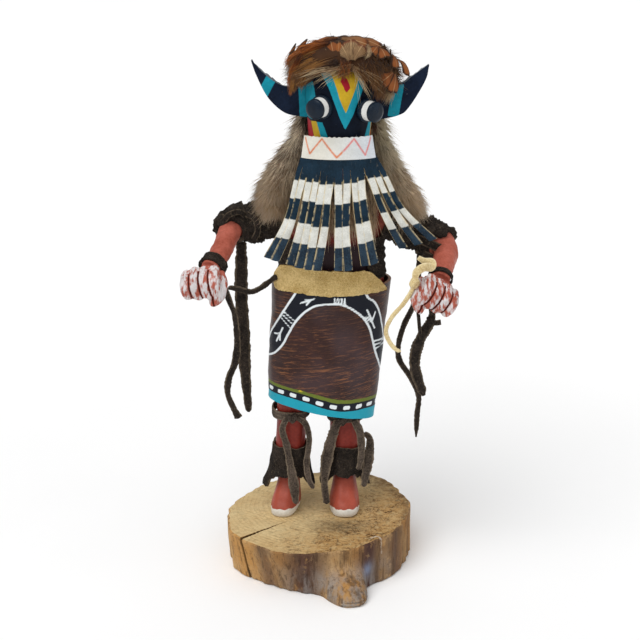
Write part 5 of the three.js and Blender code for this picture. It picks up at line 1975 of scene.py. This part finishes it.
    def mouth_band(self) -> None:
        """The pale band, its top edge ragged, with a thin zigzag."""
        low, high = self.band
        u, v = grid(np.linspace(-1, 1, 200), 26)
        top = high + 0.14 * waves(u[..., None] * 18, 3, 91)
        place = self.mouth(u, lerp(low, top, v))
        zigzag = np.array([(-0.92, 254.6), (-0.7, 246.8), (-0.4, 254.8), (-0.04, 245.4), (0.38, 254.8),
                           (0.64, 246.2), (0.9, 254.8)]) * (18, 1)
        line = line_distance(np.stack([u * 18, place[..., 2]], -1), zigzag) - 0.4
        off = 9.0
        fields = {"orange": line + off * (u > 0.1), "pink": line + off * (u <= 0.1), "blue": (0.2 - u) * off}
        finish = Paint(
            "band_paint", "#dedbd0", "#cfccc1", (
                Coat("blue", "#d2d8de", soft=5, shake=3), Coat("orange", "#dd8258", soft=0.3),
                Coat("pink", "#dc8482", soft=0.3)),
            rough=0.6, brush=0.5, scale=7, edge="#d8ccb0")
        piece = make(slab(place, 1.1, fields=fields), "mouth_band_leather", finish.build())
        settle(piece, Slot.BAND, "mouth_band")
        cut_sheet(piece, 46, 11, "stretched", "mask_head")

    def beard(self) -> None:
        """The beard: one piece of leather, uncut at the top, and slit into strips that fan out.

        Each strip runs from its root on the mouth's arc to its own tip: across by 0.62 v + 0.38 v^2,
        down in proportion to v, bellying forward by a half wave.
        """
        strips, columns, gap = len(self.tips), 8, 0.05
        local = np.linspace(0, 1 - gap, columns)
        us = (np.arange(strips)[:, None] + local).ravel()
        vs = np.linspace(0, 1, 90)
        strip = np.repeat(np.arange(strips), columns)
        tip = np.array(self.tips, float)[strip]
        across = np.tile(local - 0.5 * (1 - gap), strips)
        neighbour = np.array(self.tips, float)[np.minimum(strip + 1, strips - 1)]
        lean = np.where(strip == strips - 1, 0.3,
                        np.minimum(0.5, (neighbour[:, 2] - tip[:, 2]) / (neighbour[:, 0] - tip[:, 0] + 1)))
        root = self.mouth((2 * us / (strips - gap) - 1) * 0.98, np.full(len(us), 245.6), -1.25)
        end = tip + np.stack([4.6 * across, 0 * across, 4.6 * across * lean], -1)
        chance = np.random.default_rng(92)
        wobble = chance.normal(size=(strips, 3))[strip]
        v = vs[None, :]
        out = 0.62 * v + 0.38 * v**2
        curl = np.sin(math.pi * v)
        x = lerp(root[:, :1], end[:, :1], out) + 0.35 * wobble[:, :1] * np.sin(2.4 * math.pi * v)
        y = lerp(root[:, 1:2], end[:, 1:2], v) - 2.2 * curl - 0.25 * wobble[:, 1:2] * curl
        y = y + 0.5 * (across[:, None] ** 2) * 4 * v
        z = lerp(root[:, 2:], end[:, 2:], v)
        place = np.stack([x, y, z], -1)
        starts = np.concatenate([[8], chance.integers(9, 20, strips - 1), [8]])
        middles = place[np.arange(strips) * columns + columns // 2]
        share = np.clip(us - (1 - gap) / 2, 0, strips - 1.001)
        before = share.astype(int)
        joined = lerp(middles[before], middles[before + 1], (share - before)[:, None, None])
        slit_start = starts[np.where(np.tile(local, strips) < (1 - gap) / 2, strip, strip + 1)] / len(vs)
        apart = ease(0, 1, (v - slit_start[:, None]) / 0.22)
        inside = (us > (1 - gap) / 2) & (us < strips - 1 + (1 - gap) / 2)
        place = np.where(inside[:, None, None], lerp(joined, place, apart[..., None]), place)
        present = np.ones((len(us) - 1, len(vs) - 1), bool)
        for strip_index, start in enumerate(starts[1:-1]):
            present[columns * (strip_index + 1) - 1, start:] = False
        down = v + 0.006 * wobble[:, 2:3]
        length = 59.0
        rows = nearest(*(
            np.maximum(start - down, down - end) * length for start, end in ((0.23, 0.4), (0.6, 0.785))))
        strip_wide = 5.2
        edge = ease(2.2, 2.42, np.abs(across)[:, None] * strip_wide) * (down > 0.2)
        fields = {"white": rows, "faded": (0.79 - down) * length, "edge": edge}
        skin = slab(place, 1.0, present=present, fields=fields)
        piece = settle(make(skin, "beard_leather", BeardLeather().build()), Slot.BEARD, "beard")
        cut_sheet(piece, 62, 60, "hung", "mouth_band_leather", "carved_body")

    def build(self) -> None:
        """Makes the head and everything on its face."""
        self.head()
        self.eyes()
        self.horns()
        self.mouth_band()
        self.beard()


def smooth_corners(profile: Sequence, radius: float) -> Array:
    """A profile whose corners are cut by short curves: each corner becomes five points on a parabola.

    Args:
        profile: its corners, (n, 2).
        radius: how far from each corner its curve starts, at most.

    Returns:
        The new profile.
    """
    points = np.asarray(profile, float)
    made = [points[:1]]
    for before, corner, after in zip(points, points[1:], points[2:]):
        start = corner + unit(before - corner) * min(radius, np.linalg.norm(before - corner) / 2)
        end = corner + unit(after - corner) * min(radius, np.linalg.norm(after - corner) / 2)
        t = np.linspace(0, 1, 5)[:, None]
        made.append((1 - t) ** 2 * start + 2 * t * (1 - t) * corner + t**2 * end)
    return np.vstack([*made, points[-1:]])


@dataclass
class Pelt:
    """The fur collar: a lumpy hide under locks of tapering hairs.

    Args:
        stations: places along the collar with half thickness and half height, from right to left.
        count: hairs in each of its pieces.
        length: the hairs' mean length.
        bare: how far the hide lies under the fur's own surface.
        chest: across and up, where its hair hangs over the chest.
    """

    stations: tuple = (
        (-20.5, 0, 213, 7, 6.5), (-23, 4, 221, 10, 9.5), (-17, 8, 231, 11, 12), (-7.4, 13, 244, 8, 13),
        (-3, 21, 254, 7, 14), (12, 28, 258, 8.4, 15), (27, 21, 254, 7.6, 14), (31.4, 13, 244, 8.6, 13),
        (36.5, 8, 232, 10.8, 12), (46, 3, 220.5, 10.6, 10), (50.5, -1, 212, 8, 7))
    count: int = 15000
    length: float = 8.5
    bare: float = 5.2
    chest: tuple = ((-12, 31), (209, 231))

    def hide(self, shrink: float) -> tuple[Array, Array]:
        """The collar's surface as a grid of rings round its middle line, and their middles."""
        rows = spline(self.stations, np.linspace(0, 1, 150))
        line = rows[:, :3]
        across, out = frames(line, (0, 0, 1))
        angle = around(56)
        thick, tall = rows[:, 3:4] - shrink, rows[:, 4:5] - shrink
        ring = across[:, None] * (thick * np.cos(angle))[..., None]
        ring = ring + out[:, None] * (tall * np.sin(angle))[..., None]
        ring *= (1 + 0.07 * waves(line[:, None] + ring, 12, 101))[..., None]
        return line[:, None] + ring, line

    def build(self) -> None:
        """The hide, and the hairs in three pieces: right shoulder, nape and left shoulder."""
        material = Fleece(
            "rabbit_fur", "#83705c", "#ecdabd", "#70594a", "#ecdcc2", "#b9ac8c", "#c4a27c").build()
        rings, line = self.hide(self.bare)
        hide = loft(rings)
        hide.fields = {"along": np.full(len(hide.points), 0.1), "shade": np.full(len(hide.points), 0.4)}
        settle(make(hide, "fur_hide", material), Slot.FUR, "fur_collar")
        chance = np.random.default_rng(102)
        for name, (start, end) in {"right": (0.0, 0.4), "nape": (0.4, 0.6), "left": (0.6, 1.0)}.items():
            count = self.count if name != "nape" else self.count // 2
            u = chance.uniform(start, end, count)
            v = chance.uniform(0, 1, count)
            i = (u * (len(rings) - 1)).astype(int)
            j = (v * rings.shape[1]).astype(int) % rings.shape[1]
            roots = rings[i, j] + chance.normal(size=(count, 3)) * 0.3
            outward = unit(roots - line[i])
            comb = unit(np.stack([0.32 * np.sign(roots[:, 0] - 12), 0 * u - 0.1, 0 * u - 0.9], -1))
            lock = waves(roots, 5, 103)[:, None]
            ways = unit(0.42 * outward + (0.8 + 0.2 * lock) * comb + 0.2 * chance.normal(size=(count, 3)))
            lengths = self.length * chance.uniform(0.55, 1.15, count) * (1 + 0.25 * lock[:, 0])
            tone = 0.45 + 0.45 * waves(roots * (1, 1, 0.5), 5, 104)
            shade = np.clip(tone + 0.2 * chance.normal(size=count), 0, 1)
            droop = 0.35 * comb + 0.12 * chance.normal(size=(count, 3))
            skin = hairs(roots, ways, lengths, chance.uniform(0.18, 0.34, count), droop, shade)
            settle(make(skin, f"fur_{name}", material, crease=180), Slot.FUR)
        count = 1500
        x, z = chance.uniform(*self.chest[0], count), chance.uniform(*self.chest[1], count)
        roots = np.stack([x, -6.2 + 0.012 * (x - 12) ** 2 + 0.05 * np.maximum(z - 218, 0) ** 1.6, z], -1)
        hang = np.stack([0.006 * (x - 12), 0 * x - 0.22, 0 * x - 1], -1)
        ways = unit(hang + 0.14 * chance.normal(size=(count, 3)))
        lengths, widths = chance.uniform(9, 15, count), chance.uniform(0.25, 0.45, count)
        droop = np.array((0, 0.1, -0.3)) + 0.1 * chance.normal(size=(count, 3))
        skin = hairs(roots, ways, lengths, widths, droop, chance.uniform(0, 0.6, count))
        settle(make(skin, "fur_chest", material, crease=180), Slot.FUR)


@dataclass(frozen=True)
class Lock:
    """Hairs that start round one place, bow out, and end round another.

    Args:
        start: where they start.
        end: where they end.
        bow: how far the start's direction is bent from the straight line.
        count: how many.
        spread: how far the starts and the ends lie apart.
        radius: the thickest hair's radius at its root.
        shade: their tone, 0 dark to 1 light.
    """

    start: Place
    end: Place
    bow: Place
    count: int
    spread: tuple[float, float] = (0.8, 1.2)
    radius: float = 0.2
    shade: float = 0.5

    def skin(self, chance: np.random.Generator) -> Skin:
        """The hairs: each runs along (end - start + bow) s - bow s^2."""
        start = self.start + chance.normal(size=(self.count, 3)) * self.spread[0]
        end = self.end + chance.normal(size=(self.count, 3)) * self.spread[1]
        bow = self.bow * chance.uniform(0.6, 1.3, (self.count, 1))
        way = end - start + bow
        length = np.linalg.norm(way, axis=1)
        shade = np.clip(self.shade + 0.34 * chance.normal(size=self.count), 0, 1)
        thick = self.radius * chance.uniform(0.5, 1, self.count)
        return hairs(start, unit(way), length, thick, -bow / length[:, None], shade, 4)


@dataclass(frozen=True)
class Plume:
    """One small feather, from its root to its tip.

    Args:
        root: where it grows.
        tip: where it ends.
        width: its widest.
        face: the way its upper side looks.
        lobe: how deep its tip is notched, over its length.
        pointed: whether it narrows to a point.
        kind: 0 rust with a dark rim, 1 striped like a shell.
        shade: its own tone.
        bow: how far its middle rises, in millimetres.
        lift: how far it stands off along its face, in millimetres.
    """

    root: Place
    tip: Place
    width: float
    face: Place = (0, -0.7, 0.7)
    lobe: float = 0.1
    pointed: bool = False
    kind: float = 0.0
    shade: float = 0.5
    bow: float = 1.0
    lift: float = 2.0

    def skin(self) -> Skin:
        """A thin leaf: its half width grows to the tip, or by sin(pi s^0.75) for a pointed one."""
        s, w = grid(20, np.linspace(-1, 1, 13))
        root, tip = np.array(self.root, float), np.array(self.tip, float)
        way = tip - root
        across = unit(np.cross(way, self.face))
        up = unit(np.cross(across, way))
        if self.pointed:
            half, end = 0.06 + 0.94 * np.sin(math.pi * s**0.75) ** 0.8, 1 + 0 * w
        else:
            half = lerp(0.22, 1, ease(0, 0.8, s))
            end = 1 - 0.3 * np.abs(w) ** 2.6 - self.lobe * bell(w, 0, 0.3)
        along = s * end * (1 + 0.03 * waves(np.stack([w * 4, 0 * w], -1), 1.5, 181))
        rise = self.bow * np.sin(math.pi * s) - 0.16 * self.width * half * w**2
        place = (root + way * along[..., None] + across * (self.width / 2 * half * w)[..., None]
                 + up * rise[..., None] + unit(np.array(self.face)) * self.lift)
        fields = {"along": s, "across": w, "kind": 0 * s + self.kind, "shade": 0 * s + self.shade}
        return slab(place, 0.3, fields=fields)


@dataclass
class Crown:
    """The feathers on the head: combed brown barbs on its right, a striped fan in the middle, rust
    feathers with dark rims on its left, spikes along the crest and loose down over the forehead.

    Args:
        middle: the cap's middle.
        halves: its half width and half depth at its rim.
        top: its height.
        rims: its rim's height in front, at the sides and at the back.
        plumes: the single feathers on top.
        locks: brown locks over the forehead and at the sides.
        glow: rust-coloured locks.
        wisps: thin pale ones.
    """

    middle: tuple[float, float] = (14.5, 7)
    halves: tuple[float, float] = (27.5, 20.5)
    top: float = 303
    rims: Place = (290.5, 280, 276)
    plumes: tuple[Plume, ...] = (
        Plume((17.2, -12.2, 294.4), (13.2, -3.4, 300.6), 8, (-0.2, -0.75, 0.65), 0.0, kind=1, shade=0.6,
              bow=1.6),
        Plume((18.6, -11.4, 294.6), (23.4, -3.6, 300.4), 9, (0.2, -0.75, 0.65), 0.0, kind=0.9, shade=0.9,
              bow=2.4),
        Plume((17.6, -12, 294.6), (17.8, -0.6, 302.8), 10.5, (0, -0.75, 0.65), 0.0, kind=1, shade=0.6, bow=2),
        Plume((11.4, -10, 294.2), (11.8, -1.4, 302.2), 3.4, (-0.1, -0.8, 0.6), 0.0, shade=0.9),
        # a near-black feather in the gap beside the rust feathers: painted shadow
        Plume((8.6, -9, 293.6), (5, -4, 298.6), 3.6, (-0.2, -0.75, 0.6), 0.0, shade=0.0),
        Plume((10, -9.6, 294), (7.8, -0.8, 302), 6.6, (-0.2, -0.75, 0.6), 0.0, shade=0.4),
        Plume((13, 4, 302.4), (27, -0.4, 299.6), 9, (0.1, -0.7, 0.7), 0.0, kind=0.5, shade=0.8),
        Plume((20, 6, 301.8), (34, 2, 297.8), 8, (0.2, -0.6, 0.8), 0.05, kind=0.3, shade=0.5),
        Plume((11, 4, 302.6), (-1.4, 3.4, 299.6), 4.4, (0, -0.6, 0.8), 0.05, shade=0.6),
        Plume((4, 3, 300.6), (-8, 2, 296.6), 4, (-0.1, -0.6, 0.8), 0.05, shade=0.75),
        Plume((-14.2, 3, 291), (-9.9, 4.2, 300.6), 2.4, (-0.5, -0.8, 0.2), 0.0, True, shade=0.05, bow=0.2),
        Plume((-10.6, 3.4, 294), (-4, 4.6, 302.8), 3.2, (-0.5, -0.8, 0.2), 0.0, True, shade=0.2, bow=0.3),
        Plume((31.4, 1, 299), (27.6, -5.4, 296), 5.6, (0.2, -0.8, 0.6), 0.14, shade=0.6),
        Plume((32.2, 1, 298.2), (35.6, -5, 293.8), 7, (0.3, -0.8, 0.6), 0.16, shade=0.45),
        Plume((38.4, 1, 294.8), (40.6, -3.6, 288.2), 5, (0.6, -0.7, 0.5), 0.05, shade=0.5),
        Plume((41, 3, 292), (47.2, 0.4, 283.8), 4.2, (0.7, -0.6, 0.5), 0.0, shade=0.65, bow=1.6),
        Plume((39, -5.4, 287), (31.6, -10.8, 282.2), 8.6, (0.3, -0.9, 0.4), 0.18, shade=0.4),
        Plume((39.8, -5, 286.4), (38.4, -9.4, 276.8), 6.8, (0.5, -0.85, 0.3), 0.08, shade=0.5),
        Plume((36.5, 5, 294.6), (35.2, 4.6, 301), 1.2, (0, -1, 0), 0.0, True, shade=0.0, bow=0.1),
        Plume((38.5, 4, 292.6), (38.6, 3.6, 298.4), 1.0, (0, -1, 0), 0.0, True, shade=0.0, bow=0.1))
    locks: tuple[Lock, ...] = (
        Lock((15, -12.8, 292.6), (12.4, -14.8, 288), (0, -2, 1), 150, (1.9, 1.6), 0.2, 0.45),
        Lock((24, -11.6, 292.4), (25, -14, 286), (0, -2, 1), 190, (1.9, 1.7), 0.2, 0.4),
        Lock((31, -8, 291), (31, -12.6, 284.6), (0, -2, 1), 170, (2, 1.8), 0.2, 0.35),
        Lock((36, -3, 290), (37.4, -8, 284), (2, -2, 1), 170, (2, 1.8), 0.2, 0.3),
        Lock((33, -9, 283.6), (33, -13, 275.6), (1, -2, 1), 130, (1.6, 2), 0.16, 0.75),
        Lock((-9, -7, 287), (-12.8, -9.4, 278.6), (-3, -2, 1), 200, (1.2, 1.0), 0.2, 0.6),
        Lock((-3, -9.6, 288), (-9, -12, 281), (-3, -2, 1), 100, (1.2, 1.2), 0.2, 0.4),
        Lock((27, -12, 292), (30.6, -14, 280.6), (3, -3, 2), 130, (1.6, 1.8), 0.18, 0.6))
    glow: tuple[Lock, ...] = (
        Lock((14.6, -13.6, 294.4), (14, -15.8, 288), (0, -2, 1), 60, (2.2, 1.8), 0.14, 0.3),
        Lock((-6, 0, 298), (-15.6, 1, 289.4), (-5, -1, 4), 150, (1.4, 1.0), 0.22, 0.7),
        Lock((-9, -4, 294), (-14.4, -6.6, 280.4), (-4, -2, 3), 110, (1.4, 0.9), 0.2, 0.5),
        Lock((8, -1, 302), (-11, -1.6, 296), (-4, -2, 5), 120, (1.2, 1.6), 0.2, 0.3),
        Lock((-12.8, -7, 281.6), (-13.6, -9, 276.6), (-1, -1, 0), 50, (0.7, 0.5), 0.2, 0.5))
    wisps: tuple[Lock, ...] = (
        Lock((19, -14, 292), (-3, -15.6, 282.6), (-7, -1.5, 4), 15, (0.8, 2.2), 0.13, 0.7),
        Lock((18, -13.6, 293), (-9, -13.4, 286), (-7, -1.5, 4), 26, (0.9, 1.9), 0.14, 0.3),
        Lock((16, -13.6, 293), (3, -15.6, 288), (-3, -1.5, 3), 20, (0.9, 1.8), 0.13, 0.25),
        Lock((18.6, -14.2, 292), (27, -15.4, 277), (1, -3, 2), 20, (0.7, 3.2), 0.12, 0.85),
        Lock((20, -14, 292.4), (32, -13.6, 281.6), (3, -3, 2), 12, (0.9, 3.0), 0.13, 0.5),
        Lock((26.4, -6.6, 302), (25, -12.4, 296), (6, -2, 0), 36, (0.4, 0.5), 0.16, 1.0),
        Lock((39, -3, 284), (36.4, -8.6, 273.6), (3, -1, 1), 170, (1.4, 1.8), 0.14, 0.5))

    def dome(self) -> Array:
        """The cap as rings: a quarter of an oval from its rim, whose height goes by bearing, to its top."""
        rise = np.linspace(0, 0.97, 40)[:, None] * math.pi / 2
        angle = around(110)
        front, side, back = self.rims
        rim = side + (front - side) * bell(swing(angle, -math.pi / 2), 0, 0.75, 4)
        rim = rim + (back - side) * bell(swing(angle, math.pi / 2), 0, 0.9)
        place = np.stack([
            self.middle[0] + self.halves[0] * np.cos(rise) ** 0.8 * np.cos(angle),
            self.middle[1] + self.halves[1] * np.cos(rise) ** 0.8 * np.sin(angle),
            lerp(rim, self.top, np.sin(rise) ** 0.8)], -1)
        return place + (0.4 * waves(place, 7, 111))[..., None]

    def combed(self) -> list[Lock]:
        """Rows of locks that sweep from the crest over the right side of the head, and turn down."""
        rows = []
        for t in np.linspace(0, 1, 17):
            start = lerp(np.array((9, 4, 303)), np.array((10.4, -13.2, 294)), t)
            end = lerp(np.array((-13.4, 3, 292.6)), np.array((-12.4, -9.2, 282)), t)
            end[0] -= 1.6 * math.sin(math.pi * t)
            shade = 0.36 + 0.26 * math.sin(23 * t) + 0.1 * t
            rows.append(Lock(tuple(start), tuple(end), (-4.5, -2.5 * t, 6), 120, (0.8, 1.3), 0.2, shade))
        return rows

    def build(self) -> None:
        """The cap, the feathers, the combed locks and the down."""
        chance = np.random.default_rng(112)
        dome = self.dome()
        barbs = Fleece("crown_barbs", "#2e180b", "#a06e36", "#2e1607", "#8a5a2a", "#573a21").build()
        cap = loft(dome)
        cap.fields = {"along": np.full(len(cap.points), 0.1), "shade": np.full(len(cap.points), 0.2)}
        settle(make(cap, "crown_cap", barbs), Slot.FEATHER, "feather_crown")
        feathers = merged(*(plume.skin() for plume in self.plumes))
        settle(make(feathers, "crown_feathers", Plumage().build(), crease=60), Slot.FEATHER)
        combed = merged(*(lock.skin(chance) for lock in (*self.combed(), *self.locks)))
        settle(make(combed, "crown_barbs", barbs, crease=180), Slot.FEATHER)
        rusty = Fleece("crown_glow", "#3a1c0c", "#b0652b", "#6b3413", "#b86c2e", "#8a5026").build()
        glow = merged(*(lock.skin(chance) for lock in self.glow))
        settle(make(glow, "crown_glow", rusty, crease=180), Slot.FEATHER)
        pale = Fleece("crown_wisps", "#7a5a3a", "#d3bb94", "#7d5c40", "#d9c29c", "#b09370").build()
        wisps = merged(*(lock.skin(chance) for lock in self.wisps))
        settle(make(wisps, "crown_wisps", pale, crease=180), Slot.FEATHER)
        count = 4200
        i, j = chance.integers(0, dome.shape[0], count), chance.integers(0, dome.shape[1], count)
        roots = dome[i, j]
        keep = (roots[:, 0] > 11) | (roots[:, 1] > 4)
        keep &= ~((np.abs(roots[:, 0] - 17) < 11) & (roots[:, 1] < 3) & (roots[:, 2] > 292))
        roots = roots[keep]
        outward = unit((roots - (*self.middle, 284)) * (1, 1, 0.8))
        comb = unit(outward * (1, 1, 0) + (0, 0, -0.9))
        ways = unit(0.3 * outward + 0.75 * comb + 0.3 * chance.normal(size=roots.shape))
        size = len(roots)
        fluff = hairs(roots, ways, chance.uniform(3, 6.5, size), chance.uniform(0.12, 0.22, size),
                      0.4 * comb, chance.uniform(0, 0.8, size))
        settle(make(fluff, "crown_fluff", barbs, crease=180), Slot.FEATHER)


@dataclass
class Wrappings:
    """The suede round the arms, wrists, flanks, shins and knees.

    Args:
        figure: the carved figure that they lie on.
    """

    figure: Figure = field(default_factory=Figure)

    def sleeve(
        self, side: int, span: tuple[float, float], thick: float, turns: float, count: int = 90
    ) -> Skin:
        """A hollow sleeve of wound suede: outer rings, then inner rings back to the start.

        The outer radius is the limb's, plus ridges that run round it on a slant.

        Args:
            side: 0 for the right arm, 1 for the left.
            span: the shares of the arm's length at which it starts and ends.
            thick: the ridges' height in millimetres.
            turns: how many turns of suede.
            count: rings along it.

        Returns:
            The skin, with a field edge along the laps of the turns.
        """
        rows = spline(self.figure.arms[side], np.linspace(*span, count))
        line = rows[:, :3]
        across, out = frames(line, (0, 0, 1))
        angle = around(70)
        phase = turns * np.linspace(0, 1, count)[:, None]
        phase = phase + 0.12 * np.sin(angle + 1.2) + 0.06 * np.sin(3 * angle)
        saw = phase % 1.0
        ridge = (1 - saw) ** 0.6 * ease(0.0, 0.1, saw)
        size = rows[:, 3:4] + 0.75 + thick * (0.45 + 0.75 * ridge)
        ring = across[:, None] * np.cos(angle)[:, None] + out[:, None] * np.sin(angle)[:, None]
        spots = line[:, None] + ring * size[..., None]
        size = size + thick * (0.22 * waves(spots, 7, 131 + side) + 0.17 * waves(spots, 2.4, 133))
        lap = ease(0.16, 0.04, saw) * ease(0.2, 0.5, waves(spots, 6, 134 + side) + 0.5)
        outer = line[:, None] + ring * size[..., None]
        inner = line[:, None] + ring * (rows[:, 3:4] + 0.45)[..., None]
        points = np.concatenate([outer, inner[::-1]]).reshape(-1, 3)
        edge = np.concatenate([lap, 0 * lap]).ravel()
        return Skin(points, tube_faces(2 * count, len(angle), 2 * count), fields={"edge": edge}).outward()

    def arms(self) -> None:
        """The wraps above each elbow, with their knots, loops and folded ends, and the wrist cords."""
        suede = dark_suede()
        for side, name, span in ((0, "right", (0.07, 0.53)), (1, "left", (0.07, 0.46))):
            skin = merged(self.sleeve(side, span, 2.3, 3.2), *self.folds(side))
            piece = settle(make(skin, f"{name}_arm_suede", suede), Slot.SUEDE, f"{name}_arm_wrap")
            cut_sheet(piece, 60, 50, "folded", f"carved_{name}_arm")
            span, thick = (((0.9, 0.985), 1.0), ((0.93, 0.985), 0.55))[side]
            wrist = self.sleeve(side, span, thick, 3.0, 32)
            settle(make(wrist, f"{name}_wrist_suede", suede), Slot.SUEDE, f"{name}_wrist_wrap")

    def folds(self, side: int) -> list[Skin]:
        """Knots and folded ends that stand off the wraps."""
        knots, strips = (
            ((((-45, 3.5, 208.5), (4.6, 4.0, 3.2), 141), ((-49.5, 2, 204), (4.2, 4, 3.6), 142)),
             (([(-50, -2, 206), (-47, -5, 210), (-42, -3, 211), (-39, 1, 208)], 1.6, 0.5, (0, -1, 0.3)),
              ([(-38, 0, 209), (-33, -1.5, 206), (-32, -2, 200), (-34, -1, 195)], 1.7, 0.5, (0, -1, 0)))),
            ((((67, 2.0, 198.5), (4.4, 3.6, 3.8), 143), ((61, -0.5, 199), (3.8, 3.4, 3.2), 144)),
             (([(52, 0, 196), (59, -3, 194), (66, -4, 191), (73, -2, 188)], 2.4, 0.6, (0, -1, 0.2)),
              ([(58, -2.5, 187), (63, -3.4, 185), (69, -3, 184), (75, -0.5, 183)], 2.0, 0.6, (0, -1, 0)))),
        )[side]
        balls = [blob(*knot, 0.2) for knot in knots]
        return balls + [ribbon(smooth_line(way, 40), *rest) for way, *rest in strips]

    def flanks(self) -> None:
        """A strap of suede down each flank, following the trunk."""
        rings = np.array(self.figure.trunk)
        for name, (start, end) in {"right": (0.84, 1.27), "left": (1.74, 2.16)}.items():
            u, v = grid(24, 50)
            angle = (lerp(start, end, u) + 0.008 * waves(v[..., None] * 24, 8, 151)) * math.pi
            z = lerp(171.5, 195, v)
            x, wide, y, deep = (np.interp(z, rings[:, 0], rings[:, k]) for k in (1, 2, 3, 4))
            out = 2.3 + 0.45 * waves(np.stack([u * 14, v * 24], -1), 6, 152)
            place = np.stack([x + (wide + out) * np.cos(angle), y + (deep + out) * np.sin(angle), z], -1)
            piece = make(slab(place, 1.2), f"{name}_flank_suede", dark_suede())
            settle(piece, Slot.SUEDE, f"{name}_side_strap")
            cut_sheet(piece, 30, 23.5, "laid", "carved_body")

    def legging(self, side: int) -> Skin:
        """A legging flaring to ragged points: radius and lower edge follow humps round the shin."""
        bottom, top, points = (
            (-16, -15.2, ((3.35, 9.5, 3.2), (-0.35, 8.5, 2.4), (1.6, 6, 1))),
            (16.2, 16.8, ((3.5, 7, 1.4), (-0.2, 8.5, 2.6), (1.6, 6, 1))))[side]
        angle, v = grid(around(120), 34)
        drop, flare = 0 * angle, 0 * angle
        for bearing, fall, out in points:
            near = bell(swing(angle, bearing), 0, 0.42)
            drop, flare = drop + fall * near, flare + out * near
        open_out = (1 - v) ** 1.6
        spots = np.stack([np.cos(angle) * 10, np.sin(angle) * 10, v * 18], -1)
        size = 10.4 + 2 * open_out + flare * open_out + (0.35 + 0.5 * open_out) * waves(spots, 11, 161 + side)
        ragged = 0.9 * waves(spots[..., :2], 4, 163 + side)
        z = lerp(51 - drop + ragged, 68.2 + 0.5 * waves(spots[..., :2], 9, 165), v)
        x = lerp(bottom, top, v) + size * np.cos(angle)
        y = lerp(14, 12.8, v) + (size + 0.4) * np.sin(angle)
        return slab(np.stack([x, y, z], -1), 1.1, wrap=True)

    def knee_tie(self, centre: tuple, height: float, knot: tuple) -> Skin:
        """A tie: two turns of strap round the leg, and a lumpy knot.

        Args:
            centre: the leg's middle.
            height: the tie's height.
            knot: the knot's middle.

        Returns:
            The skin.
        """
        angle = np.linspace(0, 2 * TURN, 150)
        turn = np.stack([centre[0] + 10.4 * np.cos(angle), centre[1] + 10.8 * np.sin(angle),
                         height + 1.1 * np.sin(angle / 2) + 0.3 * np.sin(3 * angle)], 1)
        outward = np.stack([np.cos(angle), np.sin(angle), 0 * angle], 1)
        return merged(ribbon(turn, 1.5, 0.6, outward, 10, 5), blob(knot, (2.9, 2.1, 2.6), 171, 0.2))

    def legs(self) -> None:
        """Leggings and knee ties."""
        suede = dark_suede()
        for side, name in ((0, "right"), (1, "left")):
            piece = make(self.legging(side), f"{name}_legging_suede", suede)
            settle(piece, Slot.SUEDE, f"{name}_legging")
            cut_sheet(piece, 76, 21, "gathered", "carved_body")
        for name, *places in (
            ("right", (-14.8, 11.4), 89, (-13.6, 0, 88.6)),
            ("left", (16.4, 11.4), 87.4, (14.6, 0, 87)),
        ):
            tie = make(self.knee_tie(*places), f"{name}_knee_suede", worn_suede())
            settle(tie, Slot.SUEDE, f"{name}_knee_tie")

    def build(self) -> None:
        """Makes all the wrappings."""
        self.arms()
        self.flanks()
        self.legs()


def main() -> None:
    """Builds the studio and every piece of the doll, in order."""
    logging.basicConfig(level=logging.INFO, format="%(name)s: %(message)s")
    studio = Studio()
    studio.camera()
    LooseEnds().build()
    studio.backdrop()
    studio.light()
    LogSlice().build()
    Figure().build()
    Kilt().build()
    Mask().build()
    Pelt().build()
    Crown().build()
    Wrappings().build()


if __name__ == "__main__":
    main()
